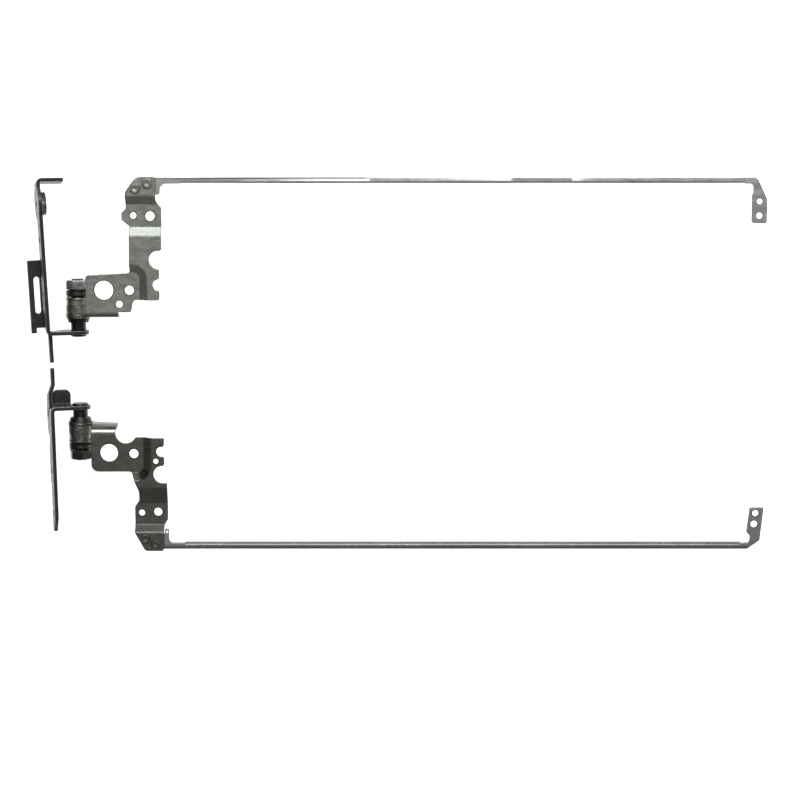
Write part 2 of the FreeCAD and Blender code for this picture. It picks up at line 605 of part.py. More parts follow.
def right_foot_flange(offset):
    """Flange bent outwards from the plate's foot, with its long slot and a relief at the end of its bend."""
    outside = -offset - BASE_SHEET
    path = [(-offset, 0), (-offset, FOOT_FLANGE_LEVEL), (outside - FOOT_FLANGE_WIDTH, FOOT_FLANGE_LEVEL)]
    flange = slab(bent_strip(path, BASE_SHEET), FRONT, FOOT_FLANGE_FROM, FOOT_FLANGE_TO)
    near = outside - FOOT_SLOT_SETBACK
    far = near - FOOT_SLOT_WIDTH
    corners = [(far, FOOT_SLOT_FROM), (near, FOOT_SLOT_FROM), (near, FOOT_SLOT_TO), (far, FOOT_SLOT_TO)]
    slot = slab([corner + (FOOT_SLOT_WIDTH / 2,) for corner in corners], PLAN, -FAR, 0)
    relief = block(PLAN, (outside - FOOT_RELIEF_WIDTH, FOOT_FLANGE_FROM),
                   (0, FOOT_FLANGE_FROM + FOOT_RELIEF_DEPTH), -FAR, FAR)
    return flange.cut([slot, relief])


def right_end_flange(offset, slant):
    """End of the plate beyond its lobe, with a flange that is bent inwards and leans out towards its top."""
    end, lobe = RIGHT_END_FLANGE_PLACE, RIGHT_LOBE[0]
    corner_x = plate_x(offset, slant, end)
    path = [(corner_x + RIGHT_END_FLANGE_REACH, end), (corner_x, end), (plate_x(offset, slant, lobe), lobe)]
    face = Part.Face(rounded_wire(bent_strip(path, BASE_SHEET), PLAN))
    height = RIGHT_END_FLANGE_TOP - RIGHT_END_FLANGE_FOOT
    lean = height * math.tan(math.radians(RIGHT_END_FLANGE_LEAN))
    along = Vector(-math.sin(math.radians(slant)), math.cos(math.radians(slant)), 0) * lean
    face.translate(Z_AXIS * RIGHT_END_FLANGE_FOOT - along)
    return face.extrude(Z_AXIS * height + along)


def right_base_bracket():
    """Ear, plate, end flange and slotted foot flange of one bent sheet."""
    offset, slant = RIGHT_BASE_OFFSET, RIGHT_BASE_SLANT
    path = [(plate_x(offset, slant, RIGHT_END_FLANGE_PLACE), RIGHT_END_FLANGE_PLACE),
            (plate_x(offset, slant, BASE_EAR_FACE), BASE_EAR_FACE), (BASE_LUG_RADIUS, BASE_EAR_FACE)]
    band = slab(bent_strip(path, BASE_SHEET), PLAN, -FAR, FAR)
    start = BASE_EAR_FACE + BEND_INSIDE
    strip = block(SIDE, (start, BASE_FAR_EDGE), (RIGHT_LOBE[0], BASE_NEAR_EDGE), -FAR, 0)
    strip = strip.cut(block(SIDE, (start, -FAR), (start + BASE_RELIEF, BASE_BEND_FOOT), -FAR, 0))
    lobe = rod(SIDE, RIGHT_LOBE, RIGHT_LOBE_RADIUS, -FAR, 0)
    ear = base_ear(RIGHT_EAR_SHOULDER, RIGHT_EAR_SHOULDER_ROUND)
    bracket = band.common(ear.fuse([strip, lobe]))
    foot_flange = slanted(right_foot_flange(offset), offset, slant)
    tab = plate_tab(offset, slant, RIGHT_TAB_REACH, RIGHT_TAB_JOG_PLACE)
    bracket = bracket.fuse([right_end_flange(offset, slant), foot_flange, tab])
    holes = [rod(SIDE, place, BASE_SCREW_HOLE / 2, -FAR, 0) for place in RIGHT_SCREW_HOLES]
    holes.append(rod(SIDE, RIGHT_LOBE, CLINCH_NUT_SPIGOT / 2 + SEATED_CLEARANCE, -FAR, 0))
    return finished_base(bracket, holes, offset, slant)


def left_ear_flange():
    """Flange bent back from the ear's foot, with its free corners rounded."""
    level = EAR_FLANGE_LEVEL
    end = BASE_EAR_BACK - EAR_FLANGE_WIDTH
    path = [(BASE_EAR_FACE, 0), (BASE_EAR_FACE, level), (end, level)]
    flange = slab(bent_strip(path, BASE_SHEET), SIDE, EAR_FLANGE_FROM, EAR_FLANGE_TO)
    outline = [(EAR_FLANGE_FROM, 0, 0), (EAR_FLANGE_FROM, end, EAR_FLANGE_ROUND),
               (EAR_FLANGE_TO, end, EAR_FLANGE_ROUND), (EAR_FLANGE_TO, 0, 0)]
    return flange.common(slab(outline, PLAN, -FAR, FAR))


def hanging_lobe(low, high, foot, corner, start, end):
    """Lobe that hangs from the plate between two places along the pin, with its lower corners rounded."""
    corners = [(low, TAB_TOP, 0), (low, foot, corner), (high, foot, corner), (high, TAB_TOP, 0)]
    return slab(corners, SIDE, start, end)


def left_base_bracket():
    """Ear with its lower flange, and a plate with two screw lobes, of one bent sheet."""
    offset, slant = LEFT_BASE_OFFSET, LEFT_BASE_SLANT
    path = [(plate_x(offset, slant, LEFT_PLATE_END), LEFT_PLATE_END),
            (plate_x(offset, slant, BASE_EAR_FACE), BASE_EAR_FACE), (BASE_LUG_RADIUS, BASE_EAR_FACE)]
    band = slab(bent_strip(path, BASE_SHEET), PLAN, -FAR, FAR)
    start = BASE_EAR_FACE + BEND_INSIDE
    strip = slab([(start, BASE_FAR_EDGE, 0), (start, BASE_NEAR_EDGE, 0),
                  (LEFT_PLATE_END - LEFT_PLATE_NOSE, BASE_NEAR_EDGE, LEFT_NOSE_ROUND),
                  (LEFT_PLATE_END, TAB_TOP, LEFT_TIP_ROUND), (LEFT_PLATE_END, BASE_FAR_EDGE, LEFT_TIP_ROUND)],
                 SIDE, -FAR, 0)
    strip = strip.cut(block(SIDE, (start, -FAR), (start + BASE_RELIEF, BASE_BEND_FOOT), -FAR, 0))
    second = hanging_lobe(LEFT_SECOND_LOBE_FROM, LEFT_SECOND_LOBE_TO, LEFT_SECOND_LOBE_FOOT,
                          LEFT_SECOND_LOBE_ROUND, -FAR, 0)
    ear = base_ear(LEFT_EAR_SHOULDER, LEFT_EAR_SHOULDER_ROUND)
    bracket = band.common(ear.fuse([strip, second]))
    lobe = hanging_lobe(LEFT_LOBE_FROM, LEFT_LOBE_TO, LEFT_LOBE_FOOT, LEFT_LOBE_ROUND,
                        -offset - BASE_SHEET, -offset)
    tab = plate_tab(offset, slant, LEFT_TAB_REACH, LEFT_TAB_JOG_PLACE)
    bracket = bracket.fuse([slanted(lobe, offset, slant), left_ear_flange(), tab])
    holes = [rod(SIDE, place, BASE_SCREW_HOLE / 2, -FAR, 0) for place in LEFT_SCREW_HOLES]
    holes.append(rod(SIDE, LEFT_LOBE_HOLE, LEFT_LOBE_HOLE_DIAMETER / 2, -FAR, 0))
    return finished_base(bracket, holes, offset, slant)


def finished_base(bracket, holes, offset, slant):
    """Cuts the plate's holes square to the plate, and the hole for the pin's riveted tail."""
    bracket = bracket.removeSplitter()
    bracket = bracket.cut([slanted(hole, offset, slant) for hole in holes])
    return bracket.cut(rod(FRONT, (0, 0), TAIL_DIAMETER / 2 + SEATED_CLEARANCE, -FAR, 0))


def clinch_nut():
    """Round nut on the inner face of the right base plate, its spigot pressed into the plate."""
    bore = CLINCH_NUT_BORE / 2
    outer = CLINCH_NUT_DIAMETER / 2
    spigot = CLINCH_NUT_SPIGOT / 2
    top = CLINCH_NUT_HEIGHT
    nut = turned([(bore, -BASE_SHEET, 0), (spigot, -BASE_SHEET, 0), (spigot, 0, 0), (outer, 0, 0),
                  (outer, top, 0), (bore, top, 0)])
    nut.rotate(ORIGIN, Z_AXIS, -90)
    nut.translate(Vector(-RIGHT_BASE_OFFSET, *RIGHT_LOBE))
    return slanted(nut, RIGHT_BASE_OFFSET, RIGHT_BASE_SLANT)


# The two hinges

def opened(shape):
    """Swings a piece of the base side about the pin to the angle at which the hinge lies open."""
    swung = shape.copy()
    swung.rotate(ORIGIN, Y_AXIS, OPENED_PAST_SQUARE)
    return swung


def hinge_pieces(lid, rail, base, nut_angle):
    """All pieces of one hinge in its own frame, by name."""
    base_side = {
        "hinge_pin": hinge_pin(),
        "collar_washer": keyed_washer(COLLAR_FACE, COLLAR_WASHER_THICKNESS, STACK_DIAMETER),
        "friction_disc": keyed_washer(DISC_START, DISC_LENGTH, DISC_DIAMETER),
        "wear_washer": keyed_washer(WEAR_WASHER_START, WEAR_WASHER_THICKNESS, WEAR_WASHER_DIAMETER),
        "spring_washers": spring_washers(),
        "lock_nut": lock_nut(nut_angle),
    }
    base_side.update(base)
    pieces = {name: opened(shape) for name, shape in base_side.items()}
    pieces["lid_bracket"] = lid_bracket(lid)
    pieces["rail"] = rail_piece(rail, lid)
    pieces["rail_rivets"] = Part.makeCompound([rivet(place) for place in lid.rivets])
    pieces["friction_ring"] = friction_ring()
    return pieces


def main():
    os.makedirs("parts", exist_ok=True)
    right_base = {"base_bracket": right_base_bracket(), "clinch_nut": clinch_nut()}
    for name, shape in hinge_pieces(RIGHT_LID, RIGHT_RAIL, right_base, RIGHT_NUT_ANGLE).items():
        shape.translate(Vector(AXIS_X, RIGHT_EAR_Y, AXIS_Z))
        shape.exportStep(f"parts/right_{name}.step")
    left_base = {"base_bracket": left_base_bracket()}
    for name, shape in hinge_pieces(LEFT_LID, LEFT_RAIL, left_base, LEFT_NUT_ANGLE).items():
        mirrored = shape.mirror(ORIGIN, Y_AXIS)
        mirrored.translate(Vector(AXIS_X, LEFT_EAR_Y, AXIS_Z))
        mirrored.exportStep(f"parts/left_{name}.step")


main()
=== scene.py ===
"""Looks of a pair of laptop lid hinges: metal finishes, small pressed and turned detail, and the stage."""

import json
import math

import bpy
import numpy as np
from bpy.props import FloatProperty, FloatVectorProperty, IntProperty, PointerProperty
from mathutils import Matrix, Vector


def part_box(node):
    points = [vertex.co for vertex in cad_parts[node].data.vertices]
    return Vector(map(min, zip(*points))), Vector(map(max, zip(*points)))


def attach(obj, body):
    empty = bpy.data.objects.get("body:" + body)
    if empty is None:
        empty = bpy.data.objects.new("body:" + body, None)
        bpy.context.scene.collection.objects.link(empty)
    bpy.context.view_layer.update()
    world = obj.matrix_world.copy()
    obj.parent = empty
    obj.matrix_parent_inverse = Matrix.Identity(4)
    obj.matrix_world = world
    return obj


bl_info = {
    "name": "Laptop hinge pair",
    "version": (1, 0, 0),
    "blender": (4, 5, 0),
    "location": "View3D > Sidebar > Hinges",
    "description": "Finishes, fine detail, floor, light and camera for a pair of laptop lid hinges",
    "category": "Object",
}

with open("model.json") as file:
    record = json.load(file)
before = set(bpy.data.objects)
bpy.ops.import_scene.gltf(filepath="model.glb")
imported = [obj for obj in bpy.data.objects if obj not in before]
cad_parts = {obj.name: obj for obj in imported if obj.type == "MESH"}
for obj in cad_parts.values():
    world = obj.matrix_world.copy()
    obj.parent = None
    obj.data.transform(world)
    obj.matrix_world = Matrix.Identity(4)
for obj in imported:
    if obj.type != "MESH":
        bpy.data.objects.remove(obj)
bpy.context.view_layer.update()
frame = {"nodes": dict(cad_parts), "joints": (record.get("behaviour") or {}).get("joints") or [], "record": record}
SIDES = ("right", "left")
MILLIMETRE = 0.001
WHITE = (1.0, 1.0, 1.0)

# Pin axis of each hinge, and the direction along it from the ear to the lock nut
AXIS = {joint["name"].split("_")[0]: Vector(joint["pos_m"]) for joint in frame["joints"]}
ALONG = {"right": 1.0, "left": -1.0}

# Levels of the flat faces: the high part of the lid brackets, the rails, and the low part, a sheet below them
LID_SHEET = 1.0 * MILLIMETRE
LEVELS = {"high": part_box("right_lid_bracket")[1].z, "rail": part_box("right_rail")[1].z}
LEVELS["low"] = LEVELS["rail"] - LID_SHEET

# Punched holes of each hinge: millimetres from the pin axis, millimetres along the pin from the ear, diameter
# in millimetres, and level
PUNCHED_HOLES = {
    "right": ((9.9, 9.6, 6.7, "low"), (18.8, 9.6, 3.4, "low"), (15.2, 4.7, 2.6, "low"),
              (20.6, 35.5, 2.4, "low"), (26.4, 35.3, 3.4, "low"),
              (237.0, 35.5, 2.4, "rail"), (237.0, 40.4, 2.2, "rail")),
    "left": ((10.6, 10.0, 6.4, "low"), (19.3, 10.3, 3.4, "low"), (27.2, 12.7, 2.0, "high"),
             (21.8, 31.4, 2.4, "low"), (27.5, 31.1, 3.1, "low"),
             (238.2, 31.4, 2.4, "rail"), (237.8, 35.3, 2.6, "rail")),
}

# Rings of each barrel, from the collar to the springs
STACK = ("collar_washer", "friction_ring", "friction_disc", "wear_washer")

# Rivets of each hinge, placed like the holes
RIVETS = {"right": ((21.6, 44.8), (25.8, 46.6)), "left": ((23.1, 40.4), (26.7, 42.4))}

# Clinch nut: how near to its greatest reach its rim starts, share of the rim's length that is knurled, and
# steps of the surface round each ridge
RIM_SHARE = 0.9
KNURL_LENGTH_SHARE = 0.82
KNURL_STEPS = 8

# Grease beads: mean thickness, how much it swells, and the two counts of its swellings round a turn
BEAD_MEAN = 0.7
BEAD_SWELL = 0.3
BEAD_WAVES = (3, 5)

# Decimals, in metres, that tell two points of a CAD node apart
POINT_DECIMALS = 7

# Scale of the grain along x, y and z, where a small one draws it out: rolled sheet, drawn strip and turned
# pieces
ROLLED = (0.45, 1.0, 1.0)
DRAWN = (0.06, 1.0, 1.0)
TURNED = (0.05, 1.0, 0.05)

# Rounded edges: bends of the normal where the line starts and is full, noise that breaks it up, what is left
# of it in the breaks, and samples of the bend
EDGE_BEND = (0.02, 0.16)
EDGE_BREAKS = (0.3, 0.62)
EDGE_LEAST = 0.45
BEVEL_SAMPLES = 8

# Grain: scale of the coarse streaks as a share of the fine one, and noise between no streak and a full one
COARSE_STREAKS = 0.22
STREAK_RANGE = (0.36, 0.64)

# Clouds: scales of mottle and specks as multiples of the broad one, and noise between none and all of each
MOTTLE_SCALE = 5.0
SPECK_SCALE = 13.0
PATCH_RANGE = (0.35, 0.65)
MOTTLE_RANGE = (0.30, 0.70)
SPECK_RANGE = (0.60, 0.74)

# Metals: tones as multiples of the metal's own colour, among them the painted shade and painted highlight,
# share of the specks, what streaks and patches do to the roughness, and depth of the grain
STREAK_TONES = (0.86, 1.13)
MOTTLE_TONE = 0.62
SPECK_TONE = 0.5
PAINTED_SHADE_TONE = 0.12
PAINTED_HIGHLIGHT_TONE = 1.7
SPECK_SHARE = 0.3
STREAK_ROUGHNESS = 0.05
PATCH_ROUGHNESS = 0.08
GRAIN_DEPTH = 0.00002

# Tones of stains, rivets and the lips of holes as multiples of the piece's own colour, and of the rings'
# seams as a multiple of the grease's
STAIN_TONES = {"lid": 0.82, "rail": 0.74, "rivet": 0.7}
RIVET_TONE = 0.85
SEAM_TONE = 0.3
LIP_TONE = 0.4
LIP_STAIN_TONE = 0.2

# Black coat: scale of its clouds, dust as a multiple of its colour and a lift, shares of dust, mottle and
# bare specks, tone of the mottle, roughness below and above the mean, and orange peel
COAT_CLOUDS = 180.0
DUST_TONE = 2.4
DUST_LIFT = 0.004
DUST_SHARE = 0.5
COAT_MOTTLE_SHARE = 0.35
COAT_MOTTLE_TONE = 0.5
BARE_SPECK_SHARE = 0.22
COAT_SMOOTHER = 0.08
COAT_ROUGHER = 0.10
PEEL_SCALE = 2600.0
PEEL_STRENGTH = 0.25
PEEL_DEPTH = 0.00003

# Grease: scale of its clouds, its thick and thin tones, range of its roughness, and lumps
GREASE_CLOUDS = 500.0
GREASE_TONES = (0.4, 1.6)
GREASE_ROUGHNESS = (0.18, 0.4)
LUMP_STRENGTH = 0.3
LUMP_DEPTH = 0.00003

# Painted shade on leaning faces: share of the normal along the pin, spread of that share, and which way along it
LID_PAINTED_SHADE = {"right": (0.9, 0.3, -1.0), "left": (0.58, 0.14, 1.0)}
RAIL_PAINTED_SHADE = (0.75, 0.55, 1.0)

# Painted shade on the bends beside the slopes, given like the others with its share last
BEND_PAINTED_SHADE = {"right": (0.37, 0.2, 1.0, 0.93), "left": (0.37, 0.2, 1.0, 0.7)}

# Painted highlight on slopes of the right bracket and on the bend of the left ear, given the same way
PAINTED_HIGHLIGHTS = {"right": (0.58, 0.14, 1.0, 0.6), "left": (0.41, 0.2, 1.0, 1.0)}

# Share of the painted shade on the sheet beside the right ear, how far along the left pin its ear's bend reaches,
# and the share of that reach where the bend is whole
EAR_SHADE_SHARE = 0.6
LEFT_EAR_REACH = 6.0 * MILLIMETRE
LEFT_EAR_WHOLE = 0.9

# Painted shade on the left rail: share on its bend, share at its outer edge, and how far it reaches in from that
# edge
RAIL_BEND_SHARE = 0.85
RAIL_EDGE_SHARE = 0.8
RAIL_SHADE_REACH = 1.9 * MILLIMETRE

# Painted shade as a dark line on the right rail: how far in from the outer edge it starts and is full, its share,
# and in metres along x where it grows and where it stops, each with the share left outside
DARK_LINE_START = 0.9 * MILLIMETRE
DARK_LINE_FULL = 0.5 * MILLIMETRE
DARK_LINE_SHARE = 0.85
DARK_LINE_GROWS = (-0.080, -0.050)
DARK_LINE_BEFORE = 0.5
DARK_LINE_STOPS = (-0.012, -0.006)
DARK_LINE_AFTER = 0.1

# Waves along the right rail, in metres along x: where the lean of its flat starts to change, where it stops,
# and the change as a share of the greatest lean
RAIL_WAVES = ((-0.085, -0.012, 1.0), (-0.010, -0.008, -0.75), (-0.008, 0.038, 0.55), (0.0390, 0.0415, -0.80),
              (0.0600, 0.0608, 0.80), (0.0608, 0.0700, -0.55), (0.112, 0.118, -0.25))

# Stage: reach of the floor, its gap below the base brackets' swing and its gloss, and each soft box's place
# from the aimed point and its width and height
FLOOR_REACH = 6.0
FLOOR_GAP = 1.0 * MILLIMETRE
FLOOR_ROUGHNESS = 0.9
FLOOR_SPECULAR = 0.1
SOFT_BOXES = {"top_light": ((0.0, -0.1, 1.4), (2.2, 2.2)),
              "back_light": ((-0.22, 1.0, 0.57), (0.7, 0.5)),
              "strip_light": ((0.0, 0.84, 1.0), (0.8, 0.25))}

# Camera: width of its sensor in millimetres, and nearest and farthest distance that it sees
SENSOR_WIDTH = 36.0
SEEN_FROM = 0.01
SEEN_TO = 50.0


def colour_property(name, description, default):
    """Colour setting with the range of a paint chip."""
    return FloatVectorProperty(name=name, description=description, subtype="COLOR", size=3, min=0.0, max=1.0,
                               default=default)


def share_property(name, description, default):
    """Setting that is a share from none to all."""
    return FloatProperty(name=name, description=description, subtype="FACTOR", min=0.0, max=1.0,
                         default=default)


def length_property(name, description, default):
    """Setting that is a length in metres."""
    return FloatProperty(name=name, description=description, subtype="DISTANCE", unit="LENGTH", min=0.0,
                         default=default, precision=6)


def brightness_property(name, description, default):
    """Setting that is the brightness of a soft box, where 1 looks white."""
    return FloatProperty(name=name, description=description, min=0.0, default=default)


class SheetSettings(bpy.types.PropertyGroup):
    """Finish of the plated lid brackets, the rivets and the rails, and their pressed detail."""

    right_lid: colour_property("Right bracket", "Plating of the right lid bracket", (0.53, 0.555, 0.505))
    # Painted shade: the left bracket has the same plating as the right, set darker to stand for shade
    left_lid: colour_property("Left bracket", "Plating of the left lid bracket", (0.218, 0.209, 0.190))
    right_rail: colour_property("Right rail", "Drawn steel of the right rail", (0.72, 0.745, 0.74))
    # Painted shade: the left rail is the same drawn steel as the right, set darker to stand for shade
    left_rail: colour_property("Left rail", "Drawn steel of the left rail", (0.55, 0.55, 0.54))
    bare_edge: colour_property("Bare edge", "Bright steel of rubbed edges", (0.74, 0.73, 0.71))
    sheared_edge: colour_property("Sheared edge", "Dull steel of the sheared edges", (0.10, 0.10, 0.095))
    lid_roughness: share_property("Bracket roughness", "Mean roughness of the plating", 0.29)
    rail_roughness: share_property("Rail roughness", "Mean roughness of the drawn strip", 0.32)
    # Painted shade: share of the darker tone laid on leaning faces
    painted_shade: share_property("Film", "Share of the dull film on leaning faces", 0.78)
    # Painted shade: width of the darker band beside the right ear's bend
    ear_band: length_property("Ear band", "Width of the film over the right ear's bend", 0.0022)
    edge_width: length_property("Edge width", "Width of the rounded line along sheared edges", 0.00044)
    lip_reach: length_property("Lip reach", "Half width of the lip round a punched hole", 0.00016)
    lip_height: length_property("Lip height", "Height of that lip above the sheet", 0.00005)
    rivet_ring: length_property("Rivet ring", "Radius of the ring that the riveting tool leaves", 0.00122)
    rivet_ring_reach: length_property("Ring reach", "Half width of that ring", 0.00024)
    rivet_ring_height: length_property("Ring height", "Height of that ring above the head", 0.00009)
    rail_lean: FloatProperty(name="Rail lean", description="Greatest lean of the right rail's wavy flat",
                             subtype="ANGLE", default=math.radians(13.0))


class BaseSettings(bpy.types.PropertyGroup):
    """Finish of the black base brackets, and the knurl of the clinch nut."""

    coat: colour_property("Coat", "Black coat of the base brackets", (0.017, 0.0183, 0.0190))
    worn: colour_property("Worn steel", "Steel that shows where the coat is rubbed off", (0.55, 0.55, 0.54))
    roughness: share_property("Coat roughness", "Mean roughness of the coat", 0.36)
    wear_width: length_property("Wear width", "Width of the rubbed line along edges", 0.00045)
    knurl_depth: length_property("Knurl depth", "Height of the clinch nut's knurl", 0.00024)
    knurl_count: IntProperty(name="Knurl count", description="Ridges round the clinch nut", min=3, default=20)


class BarrelSettings(bpy.types.PropertyGroup):
    """Finish of the pins and of the pieces stacked on them."""

    pin: colour_property("Pin", "Dark steel of the pins", (0.050, 0.055, 0.060))
    right_ring: colour_property("Right rings", "Greased steel of the right rings", (0.44, 0.43, 0.38))
    left_ring: colour_property("Left rings", "Darker greased steel of the left ones", (0.32, 0.315, 0.295))
    spring: colour_property("Springs", "Black spring steel", (0.005, 0.005, 0.005))
    right_nut: colour_property("Right nut", "Plated steel of the right lock nut", (0.60, 0.61, 0.63))
    left_nut: colour_property("Left nut", "Darker steel of the left lock nut", (0.085, 0.083, 0.080))
    grease: colour_property("Grease", "Film of grease on the stack", (0.034, 0.030, 0.021))
    seam_width: length_property("Seam width", "Width of the dark grease along the ends of the rings", 0.00045)
    spring_wear: length_property("Spring wear", "Width of the rubbed line along the springs' edges", 0.00016)
    bead: length_property("Grease bead", "Thickness of the grease squeezed out of a seam", 0.00016)
    groove_bead: length_property("Groove bead", "Thickness of the grease beside the springs", 0.00026)


class StageSettings(bpy.types.PropertyGroup):
    """Floor, light and camera."""

    floor: colour_property("Floor", "Pale floor", (0.90, 0.90, 0.90))
    glow: share_property("Floor glow", "Light that the floor gives by itself, as a light table does", 0.83)
    world: share_property("Room light", "Even light of the room", 0.13)
    top_light: brightness_property("Top light", "Brightness of the soft box above", 0.17)
    back_light: brightness_property("Back light", "Brightness of the soft box beyond the right hinge", 1.1)
    strip_light: brightness_property("Strip light", "Brightness of the narrow box high beyond it", 17.0)
    camera_distance: length_property("Camera distance", "From the camera to the aimed point", 0.700)
    camera_tilt: FloatProperty(name="Camera tilt", description="Lean of the view towards the right hinge",
                               subtype="ANGLE", default=math.radians(8.0))
    camera_half_view: FloatProperty(name="Half view", description="Tangent of half the camera's view",
                                    min=0.01, default=0.2)
    aim: FloatVectorProperty(name="Aim", description="Point in the middle of the picture",
                             subtype="TRANSLATION", unit="LENGTH", size=3,
                             default=(0.00120, -0.01207, 0.0104))


def side_colour(settings, side, piece):
    """Colour setting of one side's piece."""
    return tuple(getattr(settings, f"{side}_{piece}"))


# Node helpers

def fill(tree, socket, value):
    """Links a socket to another socket, or sets it to a plain value or colour."""
    if isinstance(value, bpy.types.NodeSocket):
        tree.links.new(value, socket)
    elif socket.type == "RGBA" and len(value) == 3:
        socket.default_value = (*value, 1.0)
    else:
        socket.default_value = value


def set_inputs(tree, node, inputs):
    """Links or sets the inputs of a node."""
    for name, value in inputs.items():
        fill(tree, node.inputs[name], value)


def add_node(tree, kind, inputs=None, **settings):
    """Adds a node with its settings, and links or sets its inputs."""
    made = tree.nodes.new(kind)
    for name, value in settings.items():
        setattr(made, name, value)
    set_inputs(tree, made, inputs or {})
    return made


def new_group(name, inputs, outputs):
    """Shader node group with named sockets; returns the group, its input node and its output node."""
    group = bpy.data.node_groups.new(name, "ShaderNodeTree")
    for label, kind, default in inputs:
        socket = group.interface.new_socket(name=label, in_out="INPUT", socket_type=kind)
        socket.default_value = default
    for label, kind in outputs:
        group.interface.new_socket(name=label, in_out="OUTPUT", socket_type=kind)
    return group, group.nodes.new("NodeGroupInput"), group.nodes.new("NodeGroupOutput")


def calculate(tree, operation, first, second):
    """Output of a Math node on two values."""
    return add_node(tree, "ShaderNodeMath", {0: first, 1: second}, operation=operation).outputs[0]


def remap(tree, value, low, high, to_low=0.0, to_high=1.0):
    """Smooth step of a value from one range to another."""
    made = add_node(tree, "ShaderNodeMapRange", {
        "Value": value, "From Min": low, "From Max": high, "To Min": to_low, "To Max": to_high},
        interpolation_type="SMOOTHSTEP")
    return made.outputs["Result"]


def coordinates(tree, vector):
    """Outputs with the x, y and z of a place or a direction."""
    return add_node(tree, "ShaderNodeSeparateXYZ", {0: vector}).outputs


def blend_colours(tree, share, first, second):
    """Colour between two colours, by a share."""
    made = add_node(tree, "ShaderNodeMix", {0: share, 6: first, 7: second}, data_type="RGBA")
    return made.outputs[2]


def lay_over(tree, tone, mask, share, colour):
    """Tone with a colour laid over it, by a mask times a share."""
    return blend_colours(tree, calculate(tree, "MULTIPLY", mask, share), tone, colour)


def noise(tree, place, scale, detail, roughness):
    """Value of a noise at a place."""
    made = add_node(tree, "ShaderNodeTexNoise", {
        "Vector": place, "Scale": scale, "Detail": detail, "Roughness": roughness})
    return made.outputs["Fac"]


def bump_normal(tree, height, strength, depth, normal=None):
    """Normal bent by a height, on top of another normal if there is one."""
    made = add_node(tree, "ShaderNodeBump", {"Height": height, "Strength": strength, "Distance": depth})
    if normal is not None:
        fill(tree, made.inputs["Normal"], normal)
    return made.outputs["Normal"]


# Shared effects

def edge_group():
    """Rounded edges: a normal bent over a small width, and a mask, broken by noise, of how far it is bent."""
    group, given, result = new_group(
        "Rounded edge",
        [("Width", "NodeSocketFloat", 0.0002), ("Breakup", "NodeSocketFloat", 900.0),
         ("Amount", "NodeSocketFloat", 1.0)],
        [("Mask", "NodeSocketFloat"), ("Normal", "NodeSocketVector")])
    rounded = add_node(group, "ShaderNodeBevel", {"Radius": given.outputs["Width"]}, samples=BEVEL_SAMPLES)
    true_normal = add_node(group, "ShaderNodeNewGeometry").outputs["Normal"]
    facing = add_node(group, "ShaderNodeVectorMath", {0: rounded.outputs[0], 1: true_normal},
                      operation="DOT_PRODUCT").outputs["Value"]
    line = remap(group, calculate(group, "SUBTRACT", 1.0, facing), *EDGE_BEND)
    place = add_node(group, "ShaderNodeTexCoord").outputs["Object"]
    clouds = noise(group, place, given.outputs["Breakup"], detail=3.0, roughness=0.6)
    broken = calculate(group, "MULTIPLY", line, remap(group, clouds, *EDGE_BREAKS, to_low=EDGE_LEAST))
    mask = calculate(group, "MULTIPLY", broken, given.outputs["Amount"])
    group.links.new(mask, result.inputs["Mask"])
    group.links.new(rounded.outputs[0], result.inputs["Normal"])
    return group


def grain_group():
    """Streaks of rolling or turning: noise on coordinates stretched by the material, the mean of fine and
    coarse."""
    group, given, result = new_group(
        "Metal grain",
        [("Vector", "NodeSocketVector", (0.0, 0.0, 0.0)), ("Scale", "NodeSocketFloat", 3000.0)],
        [("Streaks", "NodeSocketFloat"), ("Height", "NodeSocketFloat")])
    place, scale = given.outputs["Vector"], given.outputs["Scale"]
    coarse_scale = calculate(group, "MULTIPLY", scale, COARSE_STREAKS)
    fine = noise(group, place, scale, detail=4.0, roughness=0.65)
    coarse = noise(group, place, coarse_scale, detail=2.0, roughness=0.5)
    mean = calculate(group, "MULTIPLY", calculate(group, "ADD", fine, coarse), 0.5)
    group.links.new(remap(group, mean, *STREAK_RANGE), result.inputs["Streaks"])
    group.links.new(fine, result.inputs["Height"])
    return group


def patch_group():
    """Cloudy patches of plating, handling and grease: broad clouds, finer mottle, and small specks."""
    group, given, result = new_group(
        "Cloudy patches",
        [("Vector", "NodeSocketVector", (0.0, 0.0, 0.0)), ("Scale", "NodeSocketFloat", 250.0)],
        [("Patches", "NodeSocketFloat"), ("Mottle", "NodeSocketFloat"), ("Specks", "NodeSocketFloat")])
    place, scale = given.outputs["Vector"], given.outputs["Scale"]
    mottle_scale = calculate(group, "MULTIPLY", scale, MOTTLE_SCALE)
    speck_scale = calculate(group, "MULTIPLY", scale, SPECK_SCALE)
    broad = noise(group, place, scale, detail=4.0, roughness=0.55)
    mottle = noise(group, place, mottle_scale, detail=3.0, roughness=0.6)
    small = noise(group, place, speck_scale, detail=2.0, roughness=0.5)
    group.links.new(remap(group, broad, *PATCH_RANGE), result.inputs["Patches"])
    group.links.new(remap(group, mottle, *MOTTLE_RANGE), result.inputs["Mottle"])
    group.links.new(remap(group, small, *SPECK_RANGE), result.inputs["Specks"])
    return group


